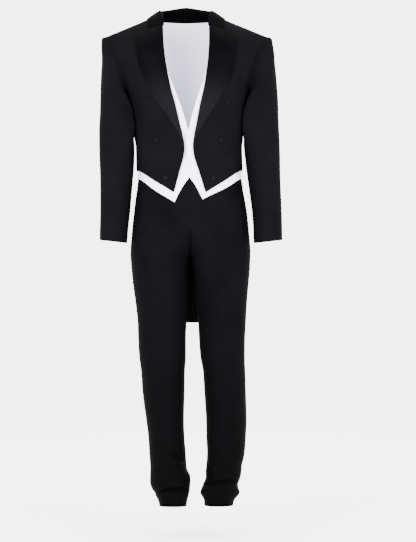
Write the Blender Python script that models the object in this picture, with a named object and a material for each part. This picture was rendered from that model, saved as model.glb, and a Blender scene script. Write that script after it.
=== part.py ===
"""An evening dress suit of three pieces, filled out and standing as if worn: a black tailcoat with
peak lapels, a white waistcoat and black trousers. Metres, +Z up, the wearer faces -Y.

Every cloth panel is a thin wall between two grids of points. Heights below are measured from the
soles of the wearer's shoes, and one empty carries the suit so that its origin is where the
wearer's shoulders hold it."""

import math

import bmesh
import bpy
import numpy as np

# Cloth and seams
CLOTH = 0.0020
SEAM_GAP = 0.0003
SHAPE = 2.3
SEAT_SHAPE = 3.1

# How far each garment's outer face lies outside the figure
TROUSER_GROW = -0.0040
WAISTCOAT_GROW = 0.0020
COAT_GROW = 0.0071

# The stance: above the hips the figure leans to the wearer's right
LEAN = 0.0235
LEAN_FROM = 0.97
HOLD_HEIGHT = 1.500
HOLD_DEPTH = 0.010

# The figure under the suit: height, half width, foremost and hindmost Y
FIGURE = [
    (0.600, 0.1710, -0.105, 0.129),
    (0.750, 0.1762, -0.110, 0.133),
    (0.850, 0.1825, -0.114, 0.137),
    (0.900, 0.1803, -0.116, 0.137),
    (0.945, 0.1765, -0.117, 0.133),
    (0.993, 0.1703, -0.117, 0.124),
    (1.041, 0.1618, -0.116, 0.110),
    (1.090, 0.1521, -0.114, 0.098),
    (1.155, 0.1520, -0.113, 0.094),
    (1.210, 0.1582, -0.116, 0.102),
    (1.270, 0.1660, -0.122, 0.116),
    (1.330, 0.1840, -0.125, 0.128),
    (1.360, 0.1990, -0.124, 0.132),
    (1.400, 0.2150, -0.119, 0.134),
    (1.440, 0.2300, -0.110, 0.130),
    (1.490, 0.2440, -0.094, 0.116),
    (1.530, 0.2500, -0.080, 0.102),
    (1.570, 0.2540, -0.066, 0.088),
]

# The shoulder ridge, where front and back meet: distance from the centre, height
RIDGE = [
    (0.0000, 1.600),
    (0.0500, 1.584),
    (0.0765, 1.5625),
    (0.0855, 1.5550),
    (0.0975, 1.5468),
    (0.1155, 1.5385),
    (0.2320, 1.4895),
    (0.3000, 1.4615),
]
FRONT_ROLL = 0.115
BACK_ROLL = 0.140
RISE_FROM = 1.25
RISE_TO = 1.45


def columns(rows, at):
    """The columns of a table after its first, read smoothly at these values of the first."""
    rows = np.array(rows, float)
    at = np.asarray(at, float)
    key, value = rows[:, 0], rows[:, 1:]
    step = np.diff(key)
    rate = np.diff(value, axis=0) / step[:, None]
    slope = np.zeros_like(value)
    slope[0], slope[-1] = rate[0], rate[-1]
    before, after = rate[:-1], rate[1:]
    same = before * after > 0
    mean = 2 * before * after / np.where(same, before + after, 1)
    slope[1:-1] = np.where(same, mean, 0)
    i = np.clip(np.searchsorted(key, at, side="right") - 1, 0, len(key) - 2)
    t = np.clip((at - key[i]) / step[i], 0, 1)[..., None]
    h = step[i][..., None]
    read = (
        value[i] * (2 * t**3 - 3 * t**2 + 1)
        + slope[i] * h * (t**3 - 2 * t**2 + t)
        + value[i + 1] * (3 * t**2 - 2 * t**3)
        + slope[i + 1] * h * (t**3 - t**2)
    )
    return [read[..., c] for c in range(value.shape[1])]


def ease(low, high, x):
    """0 below low, 1 above high, smooth between."""
    t = np.clip((np.asarray(x, float) - low) / (high - low), 0, 1)
    return t * t * (3 - 2 * t)


def bulge(wave, shape=SHAPE):
    """A sine or cosine turned into the fuller curve of the body's sections."""
    return np.sign(wave) * np.abs(wave) ** (2 / shape)


def ridge(x):
    """Height of the bare shoulder ridge at this distance from the centre."""
    return columns(RIDGE, np.abs(x))[0]


def torso(angle, height, grow):
    """A point of the body's surface. Angle 0 is the wearer's left side, -90 the front, 90 the back.
    Near the shoulders a grown surface also stands higher, so layers keep their distance there."""
    angle = np.radians(angle)
    half, front, back = columns(FIGURE, height)
    behind = (np.sin(angle) > 0) * (1 - ease(0.90, 1.06, height))
    shape = SHAPE + (SEAT_SHAPE - SHAPE) * behind
    across, along = bulge(np.cos(angle), shape), bulge(np.sin(angle), shape)
    middle = (front + back) / 2
    deep = np.where(along < 0, middle - front, back - middle) + grow
    roll = np.where(along < 0, FRONT_ROLL, BACK_ROLL)
    under = np.clip((ridge(half * across) - height) / roll, 0, 1)
    closed = np.sqrt(1 - (1 - under) ** 2)
    rise = grow * ease(RISE_FROM, RISE_TO, height)
    return np.stack([(half + grow) * across, middle + deep * along * closed, height + rise], -1)


def on_front(x, height, grow):
    """The angle and figure height at which the grown surface has this X and height in front."""
    figure_height = height - grow * ease(RISE_FROM, RISE_TO, height)
    half = columns(FIGURE, figure_height)[0] + grow
    ratio = np.clip(np.abs(x) / half, 0, 1) ** (SHAPE / 2)
    angle = -np.degrees(np.arccos(np.sign(x) * ratio))
    return np.stack([angle, figure_height], -1)


def on_ridge(x, side):
    """Angle and figure height of a point on the shoulder seam, reached from front (-1) or back (1)."""
    height = ridge(x)
    half = columns(FIGURE, height)[0]
    return np.stack([side * np.degrees(np.arccos((x / half) ** (SHAPE / 2))), height], -1)


def spread(count, power=1.0):
    """Count + 1 values from 0 to 1, closer together near 1 when power is above 1."""
    return 1 - (1 - np.linspace(0, 1, count + 1)) ** power


def patch(left, right, bottom, top):
    """A grid of points between four edges: left and right run up, bottom and top run across."""
    u = np.linspace(0, 1, len(bottom))[None, :, None]
    v = np.linspace(0, 1, len(left))[:, None, None]
    corners = (
        (1 - u) * (1 - v) * bottom[0]
        + u * (1 - v) * bottom[-1]
        + (1 - u) * v * top[0]
        + u * v * top[-1]
    )
    across = (1 - u) * left[:, None] + u * right[:, None]
    return across + (1 - v) * bottom[None] + v * top[None] - corners


def joined(*runs):
    """Runs of points end to end, each starting where the last one stops."""
    return np.concatenate([runs[0]] + [run[1:] for run in runs[1:]])


def normals(grid, ring=False):
    """Unit normals of a grid of points, pointing out where columns run anticlockwise going up."""
    if ring:
        around = np.roll(grid, -1, 1) - np.roll(grid, 1, 1)
    else:
        around = np.gradient(grid, axis=1)
    up = np.gradient(grid, axis=0)
    out = np.cross(around, up)
    return out / np.linalg.norm(out, axis=-1, keepdims=True)


def torso_normals(flat, grow):
    """Unit normals of the grown body surface at these angles and heights."""
    angle, height = flat[..., 0], flat[..., 1]
    half = columns(FIGURE, height)[0]
    top = ridge(half * bulge(np.cos(np.radians(angle)))) - 0.0005
    on_seam = height > top
    height = np.minimum(height, top)
    turn = torso(angle + 0.4, height, grow) - torso(angle - 0.4, height, grow)
    climb = torso(angle, height, grow) - torso(angle, height - 0.0008, grow)
    out = np.cross(turn, climb)
    out[..., 1] *= 1 - on_seam
    return out / np.linalg.norm(out, axis=-1, keepdims=True)


def drawn_in(grid, edges, by=SEAM_GAP * 0.8):
    """The grid with these edges (of l, r, b, t) drawn in, so that a seam stays open."""
    grid = grid.copy()
    views = {
        "l": grid,
        "r": grid[:, ::-1],
        "b": grid.swapaxes(0, 1),
        "t": grid[::-1].swapaxes(0, 1),
    }
    for edge in edges:
        view = views[edge]
        step = view[:, 1] - view[:, 0]
        view[:, 0] += step / np.linalg.norm(step, axis=-1, keepdims=True) * by
    return grid


def lean(points):
    """The points with the figure's lean above the hips."""
    moved = np.array(points, float)
    moved[..., 0] -= LEAN * np.maximum(0, moved[..., 2] - LEAN_FROM)
    return moved


def mirrored(grid):
    """The same grid on the wearer's other side, its columns still anticlockwise."""
    return grid[:, ::-1] * np.array([-1.0, 1.0, 1.0])


def wall(name, outer, out, color, roughness, thickness=CLOTH, ring=False):
    """A cloth wall with this outer face: a grid of points and their outward normals."""
    rows, cols = outer.shape[:2]
    inner = outer - thickness * out
    points = lean(np.concatenate([outer.reshape(-1, 3), inner.reshape(-1, 3)]))
    inside = rows * cols
    faces = []
    for r in range(rows - 1):
        for c in range(cols if ring else cols - 1):
            a, b = r * cols + c, r * cols + (c + 1) % cols
            faces.append((a, b, b + cols, a + cols))
            faces.append((a + inside, a + cols + inside, b + cols + inside, b + inside))
    last = (rows - 1) * cols
    for c in range(cols if ring else cols - 1):
        d = (c + 1) % cols
        faces.append((d, c, c + inside, d + inside))
        faces.append((last + c, last + d, last + d + inside, last + c + inside))
    if not ring:
        for r in range(rows - 1):
            a, b = r * cols, (r + 1) * cols
            faces.append((a, b, b + inside, a + inside))
            faces.append((b + cols - 1, a + cols - 1, a + cols - 1 + inside, b + cols - 1 + inside))
    add_mesh(name, points, faces, color, roughness)


def add_mesh(name, points, faces, color, roughness):
    """A mesh object with its own plain material, in the suit's collection."""
    mesh = bpy.data.meshes.new(name)
    mesh.from_pydata([tuple(p) for p in points], [], faces)
    work = bmesh.new()
    work.from_mesh(mesh)
    bmesh.ops.recalc_face_normals(work, faces=work.faces)
    work.to_mesh(mesh)
    work.free()
    mesh.polygons.foreach_set("use_smooth", [True] * len(mesh.polygons))
    material = bpy.data.materials.new(name)
    material.use_nodes = True
    shader = material.node_tree.nodes["Principled BSDF"]
    shader.inputs["Base Color"].default_value = (*color, 1)
    shader.inputs["Roughness"].default_value = roughness
    shader.inputs["Metallic"].default_value = 0
    mesh.materials.append(material)
    thing = bpy.data.objects.new(name, mesh)
    SUIT.objects.link(thing)
    thing.parent = STAND


def pair(name, outer, out, color, roughness, thickness=CLOTH):
    """The same panel on the wearer's left and, mirrored, on the right."""
    wall(name + "_L", outer, out, color, roughness, thickness)
    wall(name + "_R", mirrored(outer), mirrored(out), color, roughness, thickness)


def front_run(rows, grow, count, power=1.0):
    """Angle and height along a line on the front given by X and height, evenly read."""
    rows = np.array(rows, float)
    along = np.r_[0, np.cumsum(np.linalg.norm(np.diff(rows, axis=0), axis=1))]
    x, z = columns(np.column_stack([along, rows]), along[-1] * spread(count, power))
    return on_front(x, z, grow)


def flat_run(rows, count, power=1.0):
    """Angle and height along a line given by angles and heights, evenly read."""
    rows = np.array(rows, float)
    along = np.r_[0, np.cumsum(np.hypot(np.diff(rows[:, 0]) * 0.003, np.diff(rows[:, 1])))]
    return np.stack(columns(np.column_stack([along, rows]), along[-1] * spread(count, power)), -1)


def ridge_run(start, stop, side, count):
    """Angle and height along the shoulder ridge between two distances from the centre."""
    return np.stack([on_ridge(x, side) for x in np.linspace(start, stop, count + 1)])


# Colours
BLACK_CLOTH = (0.013, 0.013, 0.016)
TROUSER_CLOTH = (0.009, 0.009, 0.011)
SATIN = (0.010, 0.010, 0.012)
WHITE_CLOTH = (0.800, 0.790, 0.860)

# How many steps each shared seam has
SIDE_STEPS = 9
ARM_FRONT_STEPS = 8
UNDERARM_STEPS = 5
ARM_BACK_STEPS = 7
SHOULDER_STEPS = 6
NECK_STEPS = 6
FRONT_NECK_STEPS = 4
TAIL_STEPS = 7

# The coat's front edge up to the neck, and its hem: X and height
COAT_EDGE = [
    (0.0470, 1.024),
    (0.0278, 1.089),
    (0.0142, 1.137),
    (0.0120, 1.161),
    (0.0150, 1.185),
    (0.0255, 1.233),
    (0.0356, 1.281),
    (0.0477, 1.329),
]
COAT_ROLL = [(0.0477, 1.329), (0.0566, 1.377), (0.0635, 1.425), (0.0680, 1.485), (0.0690, 1.524)]
COAT_HEM = [(0.0470, 1.024), (0.0630, 1.034), (0.1035, 1.059), (0.1395, 1.083)]
NECK_POINT = 0.0765
SHOULDER_POINT = 0.2320
BACK_NECK_HEIGHT = 1.5760

# The coat's other seams: angle and height on the figure
SIDE_SEAM = [(-9.0, 1.0940), (-10.0, 1.170), (-10.0, 1.260), (-9.0, 1.327)]
ARM_FRONT = [(-9.0, 1.327), (-18.0, 1.336), (-24.5, 1.371), (-26.0, 1.415), (-23.0, 1.452)]
ARM_BACK = [(36.0, 1.385), (33.0, 1.430), (27.0, 1.460)]
UNDERARM = [(-9.0, 1.327), (6.0, 1.324), (24.0, 1.345), (36.0, 1.385)]
BACK_SEAM = [(72.0, 1.068), (71.0, 1.140), (64.0, 1.240), (50.0, 1.330), (36.0, 1.385)]
SKIRT_SEAM = [(14.0, 1.090), (40.0, 1.078), (72.0, 1.068)]
TAIL_SEAM = [(77.0, 0.634), (76.0, 0.800), (73.0, 0.960), (72.0, 1.068)]
SKIRT_EDGE = [(53.0, 0.634), (51.0, 0.740), (42.0, 0.860), (27.0, 0.980), (14.0, 1.090)]


def front_neck():
    """Angle and height of the coat's neck edge from the gorge up to the shoulder seam."""
    start = on_front(*COAT_ROLL[-1], COAT_GROW)
    return flat_run([start, on_ridge(NECK_POINT, -1)], FRONT_NECK_STEPS, 2.0)


def back_neck():
    """Angle and height of the coat's neck edge from the shoulder seam to the centre back."""
    return flat_run([(90.0, BACK_NECK_HEIGHT), on_ridge(NECK_POINT, 1)], NECK_STEPS, 1.5)[::-1]


def shoulder_end(side):
    """Angle and height where the shoulder seam meets the armhole, from front or back."""
    return on_ridge(SHOULDER_POINT, side)


def coat_seams():
    """The coat's shared seams as runs of angle and height, all running up or anticlockwise."""
    edge = front_run(COAT_EDGE, COAT_GROW, SIDE_STEPS)
    roll = front_run(COAT_ROLL, COAT_GROW, ARM_FRONT_STEPS - FRONT_NECK_STEPS)
    seams = {"edge": joined(edge, roll, front_neck())}
    seams["side"] = flat_run(SIDE_SEAM, SIDE_STEPS)
    end = [tuple(shoulder_end(-1))]
    seams["arm_front"] = flat_run(ARM_FRONT + end, ARM_FRONT_STEPS, 1.35)
    seams["underarm"] = flat_run(UNDERARM, UNDERARM_STEPS)
    end = [tuple(shoulder_end(1))]
    seams["arm_back"] = flat_run(ARM_BACK + end, ARM_BACK_STEPS, 1.35)
    seams["back_seam"] = flat_run(BACK_SEAM, SIDE_STEPS)
    seams["skirt_top"] = flat_run(SKIRT_SEAM, UNDERARM_STEPS - 1)
    seams["waist"] = np.concatenate([seams["side"][:1], seams["skirt_top"]])
    seams["tail_seam"] = flat_run(TAIL_SEAM, TAIL_STEPS)
    seams["skirt_edge"] = flat_run(SKIRT_EDGE, TAIL_STEPS)
    return seams


def centre_back():
    """The centre back line, its steps matching the back seam and the back of the armhole."""
    low = np.linspace(0.634, 1.068, TAIL_STEPS + 1)
    middle = np.linspace(1.068, 1.400, SIDE_STEPS + 1)
    high = 1.400 + (BACK_NECK_HEIGHT - 1.400) * spread(ARM_BACK_STEPS, 1.35)
    height = joined(low, middle, high)
    return np.column_stack([np.full(len(height), 90.0), height])


def torso_patch(left, right, bottom, top, grow):
    """Outer face and normals of a panel lying on the body."""
    flat = patch(left, right, bottom, top)
    return torso(flat[..., 0], flat[..., 1], grow), torso_normals(flat, grow)


def make_body(seams):
    """Foreparts, side bodies, backs and skirts of the coat."""
    hem = front_run(COAT_HEM, COAT_GROW, SHOULDER_STEPS - 1)
    hem = np.concatenate([hem, seams["side"][:1]])
    shoulder = ridge_run(NECK_POINT, SHOULDER_POINT, -1, SHOULDER_STEPS)
    right = joined(seams["side"], seams["arm_front"])
    outer, out = torso_patch(seams["edge"], right, hem, shoulder, COAT_GROW)
    pair("forepart", drawn_in(outer, "rt"), out, BLACK_CLOTH, 0.8)

    outer, out = torso_patch(
        seams["side"], seams["back_seam"], seams["waist"], seams["underarm"], COAT_GROW
    )
    pair("side_body", drawn_in(outer, "lrb"), out, BLACK_CLOTH, 0.8)

    left = joined(seams["tail_seam"], seams["back_seam"], seams["arm_back"])
    hem = flat_run([(77.0, 0.634), (90.0, 0.634)], SHOULDER_STEPS + NECK_STEPS)
    top = joined(ridge_run(SHOULDER_POINT, NECK_POINT, 1, SHOULDER_STEPS), back_neck())
    outer, out = torso_patch(left, centre_back(), hem, top, COAT_GROW)
    pair("back", drawn_in(outer, "lrt"), out, BLACK_CLOTH, 0.8)

    hem = flat_run([(53.0, 0.634), (77.0, 0.634)], UNDERARM_STEPS - 1)
    outer, out = torso_patch(
        seams["skirt_edge"], seams["tail_seam"], hem, seams["skirt_top"], COAT_GROW
    )
    pair("skirt", drawn_in(outer, "rt"), out, BLACK_CLOTH, 0.8)


# Lapels: outer edge as X and height, gorge from the roll line to the peak
LAPEL_WALL = 0.0022
LAPEL_GAP = 0.0008
LAPEL_ROLL = 0.0050
LAPEL_STEPS = 12
LAPEL_EDGE = [
    (0.0200, 1.181),
    (0.0460, 1.226),
    (0.0750, 1.270),
    (0.1000, 1.308),
    (0.1200, 1.342),
    (0.1360, 1.380),
    (0.1500, 1.441),
    (0.1600, 1.500),
]
LAPEL_LINE = [(0.0136, 1.174)] + COAT_EDGE[4:] + COAT_ROLL[1:4] + [(0.0690, 1.5235)]
GORGE = [(0.0690, 1.5235), (0.1600, 1.500)]
LAPEL_FOOT = [(0.0136, 1.174), (0.0200, 1.181)]


def make_lapels():
    """Peak lapels lying on the foreparts, standing off a little where they roll."""
    grow = COAT_GROW + LAPEL_GAP + LAPEL_WALL
    line = front_run(LAPEL_LINE, grow, LAPEL_STEPS)
    edge = front_run(LAPEL_EDGE, grow, LAPEL_STEPS)
    flat = patch(line, edge, front_run(LAPEL_FOOT, grow, 5), front_run(GORGE, grow, 5))
    outer = torso(flat[..., 0], flat[..., 1], grow)
    out = torso_normals(flat, grow)
    v = np.linspace(0, 1, flat.shape[0])[:, None]
    u = np.linspace(0, 1, flat.shape[1])[None, :]
    lift = 0.0004 + LAPEL_ROLL * np.sin(np.pi * u) ** 0.8 * np.sin(np.pi * v) ** 0.7
    outer = outer + out * lift[..., None]
    pair("lapel", drawn_in(outer, "t"), out, SATIN, 0.3, LAPEL_WALL)


# The collar folds over the coat's neck edge: a fall outside and a stand inside
FALL_END = [(0.1130, 1.5122), (0.1135, 1.520)]
FALL_SHOULDER = 0.1140
FALL_BACK = 1.5330
STAND_SHARE = 0.50
COLLAR_GAP = 0.0028


def collar_stations():
    """Neck edge and fall edge along the collar, from the left gorge to the centre back."""
    end = on_front(*np.array(FALL_END).T, COAT_GROW)
    fall = np.concatenate([end, on_ridge(FALL_SHOULDER, -1)[None]])
    fall = flat_run(fall, FRONT_NECK_STEPS, 2.0)
    shoulder = on_ridge(FALL_SHOULDER, 1)
    back_fall = flat_run([(90.0, FALL_BACK), (75.0, 1.531), shoulder], NECK_STEPS, 1.5)[::-1]
    return np.concatenate([front_neck()[:-1], back_neck()]), np.concatenate([fall[:-1], back_fall])


def make_collar():
    """The collar as one strip folded over the coat's neck edge."""
    neck, fall = collar_stations()
    across = np.array([1.0, 0.66, 0.33, 0.0])
    flat = neck[None] + across[:, None, None] * (fall - neck)[None]
    cloth = torso(flat[..., 0], flat[..., 1], COAT_GROW)
    out = torso_normals(flat, COAT_GROW)
    away = cloth[-1] - cloth[-2]
    away -= (away * out[-1]).sum(-1, keepdims=True) * out[-1]
    away /= np.linalg.norm(away, axis=-1, keepdims=True)
    outside = cloth + out * (COLLAR_GAP + CLOTH)
    half = CLOTH / 2 + COLLAR_GAP + CLOTH
    middle = cloth[-1] - out[-1] * CLOTH / 2
    fold = []
    fold_out = []
    for turn in np.radians([36, 72, 108, 144]):
        direction = out[-1] * math.cos(turn) + away * math.sin(turn)
        fold.append(middle + direction * half)
        fold_out.append(direction)
    depth = np.array([0.0, 0.5, 1.0]) * STAND_SHARE
    flat = neck[None] + depth[:, None, None] * (fall - neck)[None]
    inner = torso(flat[..., 0], flat[..., 1], COAT_GROW)
    inner_out = torso_normals(flat, COAT_GROW)
    inside = inner - inner_out * (2 * CLOTH + COLLAR_GAP)
    grid = np.concatenate([outside, np.array(fold), inside])
    normal = np.concatenate([out, np.array(fold_out), -inner_out])
    grid = np.concatenate([grid, mirrored(grid)[:, 1:]], axis=1)
    normal = np.concatenate([normal, mirrored(normal)[:, 1:]], axis=1)
    wall("collar", grid, normal, BLACK_CLOTH, 0.8)


# Sleeves: share of the length; outer X and height, inner X and height, front Y, back Y
SLEEVE = [
    (0.00, 0.2320, 1.4965, 0.1900, 1.3250, -0.070, 0.083),
    (0.03, 0.2490, 1.4895, 0.1888, 1.3160, -0.074, 0.084),
    (0.07, 0.2530, 1.4640, 0.1848, 1.3020, -0.076, 0.085),
    (0.12, 0.2548, 1.4300, 0.1785, 1.2800, -0.076, 0.085),
    (0.20, 0.2590, 1.3800, 0.1712, 1.2460, -0.074, 0.084),
    (0.28, 0.2622, 1.3250, 0.1655, 1.2060, -0.072, 0.082),
    (0.37, 0.2650, 1.2650, 0.1636, 1.1600, -0.070, 0.078),
    (0.46, 0.2690, 1.2050, 0.1655, 1.1150, -0.068, 0.074),
    (0.55, 0.2696, 1.1430, 0.1698, 1.0690, -0.070, 0.069),
    (0.65, 0.2684, 1.0770, 0.1752, 1.0180, -0.076, 0.060),
    (0.76, 0.2690, 1.0090, 0.1805, 0.9670, -0.084, 0.048),
    (0.88, 0.2702, 0.9410, 0.1855, 0.9175, -0.093, 0.036),
    (1.00, 0.2714, 0.8845, 0.1885, 0.8750, -0.099, 0.027),
]
# How far the front of the sleeve's inner side lies over the coat's front: share, metres
ARM_PRESS = [
    (0.00, 0.0),
    (0.06, 0.0),
    (0.14, 0.018),
    (0.22, 0.025),
    (0.30, 0.023),
    (0.36, 0.014),
    (0.46, 0.005),
    (0.60, 0.0),
    (1.00, 0.0),
]
ARM_SEAM_GAP = 0.0010
SLEEVE_ROWS = [1.0, 0.91, 0.82, 0.73, 0.64, 0.56, 0.49, 0.42, 0.35, 0.28, 0.21, 0.15, 0.10, 0.06, 0.03]
ARM_SPREAD = {1: 1.0, -1: 0.0}
SPREAD_OUT = [
    (0.00, 0.0000, 0.0),
    (0.05, 0.0030, 0.0),
    (0.12, 0.0080, 0.0),
    (0.30, 0.0078, 0.0),
    (0.46, 0.0030, 0.0030),
    (0.70, 0.0036, 0.0040),
    (1.00, 0.0036, 0.0),
]


def arm_fold(share, turn):
    """Soft folds round the elbow, in metres out from the sleeve."""
    wave = np.sin((share - 0.05 * np.cos(turn)) * 2 * np.pi / 0.085)
    return 0.0016 * wave * np.exp(-(((share - 0.55) / 0.15) ** 2)) * (0.6 - 0.4 * np.sin(turn))


def pressed(share, turn):
    """How far the arm's inner front is moved in, over the coat's front."""
    inner_front = 3.08 * np.clip(-np.cos(turn), 0, 1) * np.clip(-np.sin(turn), 0, 1) ** 3
    return float(columns(ARM_PRESS, share)[0]) * inner_front


def sleeve_grid(loop, loop_out, side):
    """Rings of points from the cuff up to the armhole for one sleeve, and their normals."""
    length = np.r_[0, np.cumsum(np.linalg.norm(np.diff(loop, axis=0), axis=1))]
    turn = (2 * np.pi * length / length[-1])[:-1]
    loop, loop_out = loop[:-1], loop_out[:-1]
    rings = []
    for share in SLEEVE_ROWS + [0.0]:
        xo, zo, xi, zi, yf, yb = (float(v) for v in columns(SLEEVE, share))
        wider = columns(SPREAD_OUT, share)
        xo += ARM_SPREAD[side] * float(wider[0])
        xi += ARM_SPREAD[side] * float(wider[1])
        c, s = bulge(np.cos(turn)), bulge(np.sin(turn))
        x = (xo + xi) / 2 + (xo - xi) / 2 * c - pressed(share, turn)
        z = (zo + zi) / 2 + (zo - zi) / 2 * c
        y = (yf + yb) / 2 + (yb - yf) / 2 * s
        ring = np.stack([x, y, z], -1)
        fold = arm_fold(share, turn)
        ring[:, 0] += fold * np.cos(turn)
        ring[:, 1] += fold * np.sin(turn)
        rings.append(ring)
    rings = np.array(rings)
    fade = (1 - ease(0.0, 0.16, np.array(SLEEVE_ROWS + [0.0])))[:, None, None]
    start = loop + loop_out * 0.0006
    rings = rings + fade * (start - rings[-1])[None]
    return rings, normals(rings, ring=True)


def make_sleeves(seams):
    """Top and under sleeves, hung on the armhole."""
    back = torso_loop(seams["arm_back"][::-1])
    under = torso_loop(seams["underarm"][::-1])
    front = torso_loop(seams["arm_front"])
    loop = joined(back[0], under[0], front[0])
    out = joined(back[1], under[1], front[1])
    centre = loop.mean(axis=0)
    away = np.roll(loop, -1, 0) - np.roll(loop, 1, 0)
    away[0] = loop[1] - loop[-2]
    away[-1] = away[0]
    away = np.cross(out, away)
    away /= np.linalg.norm(away, axis=1, keepdims=True)
    away *= np.sign(((centre - loop) * away).sum(1, keepdims=True))
    loop = loop + away * SEAM_GAP
    count = len(loop) - 1
    back_seam = round(count * 0.36)
    front_seam = round(count * 0.68)
    for side, label in ((1, "_L"), (-1, "_R")):
        grid, normal = sleeve_grid(loop, out, side)
        top = [c % count for c in range(front_seam, count + back_seam + 1)]
        under = list(range(back_seam, front_seam + 1))
        for name, chosen in (("top_sleeve", top), ("under_sleeve", under)):
            outer, face = drawn_in(grid[:, chosen], "lr", ARM_SEAM_GAP), normal[:, chosen]
            if side < 0:
                outer, face = mirrored(outer), mirrored(face)
            wall(name + label, outer, face, BLACK_CLOTH, 0.8)


def torso_loop(flat):
    """Points and normals on the coat's outer face along a run of angle and height."""
    return torso(flat[:, 0], flat[:, 1], COAT_GROW), torso_normals(flat[None], COAT_GROW)[0]


# The waistcoat: V neck and hem as X and height, armhole and side seam as angle and height
LAP = 0.0075
LAP_DROP = CLOTH + 0.0009
WAISTCOAT_STEPS = 8
VEE = [
    (0.0012, 1.2120),
    (0.0102, 1.2450),
    (0.0204, 1.2780),
    (0.0330, 1.3150),
    (0.0640, 1.4000),
    (0.0860, 1.4700),
    (0.0990, 1.5200),
]
FRONT_CUT = [(0.0425, 0.9995), (0.0215, 1.0400)]
WAISTCOAT_HEM = [(0.0425, 0.9995), (0.0645, 1.0120), (0.1065, 1.0355), (0.1395, 1.0595)]
WAISTCOAT_SIDE = [(-4.0, 1.070), (-4.0, 1.180), (-4.0, 1.300)]
WAISTCOAT_ARM_FRONT = [(-4.0, 1.300), (-30.0, 1.318), (-42.0, 1.370), (-44.0, 1.440)]
WAISTCOAT_ARM_BACK = [(-4.0, 1.300), (22.0, 1.320), (40.0, 1.380), (42.0, 1.440)]
WAISTCOAT_NECK = 0.1060
WAISTCOAT_SHOULDER = 0.1850
WAISTCOAT_BACK_NECK = 1.540


def lapped(flat, points, out, side):
    """Waistcoat points with the wearer's right front dropped under the left near the centre."""
    if side > 0:
        return points
    near = 1 - ease(0.010, 0.045, -points[..., 0])
    low = 1 - ease(1.225, 1.300, flat[..., 1])
    return points - out * (LAP_DROP * near * low)[..., None]


def make_waistcoat():
    """Two fronts, the left lapped over the right, and a full back."""
    grow = WAISTCOAT_GROW
    end = [tuple(on_ridge(WAISTCOAT_SHOULDER, -1))]
    side_run = flat_run(WAISTCOAT_SIDE, WAISTCOAT_STEPS)
    arm_run = flat_run(WAISTCOAT_ARM_FRONT + end, WAISTCOAT_STEPS, 1.35)
    right = joined(side_run, arm_run)
    hem = front_run(WAISTCOAT_HEM, grow, WAISTCOAT_STEPS - 1)
    hem = np.concatenate([hem, side_run[:1]])
    shoulder = ridge_run(WAISTCOAT_NECK, WAISTCOAT_SHOULDER, -1, WAISTCOAT_STEPS)
    for side, label in ((1, "_L"), (-1, "_R")):
        low = front_run(FRONT_CUT + [(-LAP, 1.0800)], grow, 4)
        middle = front_run([(-LAP, 1.0800), (-LAP, 1.1960)], grow, 4)
        vee = front_run([(-LAP, 1.1960)] + VEE, grow, WAISTCOAT_STEPS - 1, 1.2)
        top = on_ridge(WAISTCOAT_NECK, -1)[None]
        left = joined(low, middle, np.concatenate([vee, top]))
        flat = patch(left, right, hem, shoulder)
        outer = torso(flat[..., 0], flat[..., 1], grow)
        out = torso_normals(flat, grow)
        edges = "rt"
        if side < 0:
            outer = lapped(flat, mirrored(outer)[:, ::-1], mirrored(out)[:, ::-1], side)[:, ::-1]
            out = mirrored(out)
            edges = "lt"
        wall("waistcoat_front" + label, drawn_in(outer, edges), out, WHITE_CLOTH, 0.75)

    end = [tuple(on_ridge(WAISTCOAT_SHOULDER, 1))]
    arm_run = flat_run(WAISTCOAT_ARM_BACK + end, WAISTCOAT_STEPS, 1.35)
    right_edge = joined(flat_run(WAISTCOAT_SIDE, WAISTCOAT_STEPS), arm_run)
    low = np.linspace(1.070, 1.300, WAISTCOAT_STEPS + 1)
    high = 1.300 + (WAISTCOAT_BACK_NECK - 1.300) * spread(WAISTCOAT_STEPS, 1.35)
    height = joined(low, high)
    middle = np.column_stack([np.full(len(height), 90.0), height])
    hem = flat_run([(-4.0, 1.070), (90.0, 1.070)], WAISTCOAT_STEPS)
    neck = flat_run([tuple(on_ridge(WAISTCOAT_NECK, 1)), (90.0, WAISTCOAT_BACK_NECK)], 3)
    top = joined(ridge_run(WAISTCOAT_SHOULDER, WAISTCOAT_NECK, 1, WAISTCOAT_STEPS - 3), neck)
    outer, out = torso_patch(right_edge, middle, hem, top, grow)
    outer = drawn_in(outer, "lt")
    outer = np.concatenate([outer, mirrored(outer)[:, 1:]], axis=1)
    out = np.concatenate([out, mirrored(out)[:, 1:]], axis=1)
    wall("waistcoat_back", outer, out, WHITE_CLOTH, 0.75)


# Covered buttons: X and height on the coat, height on the waistcoat, and their sizes
COAT_BUTTONS = [(0.1215, 1.286), (0.0965, 1.180), (0.0710, 1.067)]
COAT_BUTTON = (0.0090, 0.0042)
WAISTCOAT_BUTTONS = [1.190, 1.147, 1.105]
WAISTCOAT_BUTTON = (0.0055, 0.0034)
BUTTON_SIDES = 14


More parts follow.
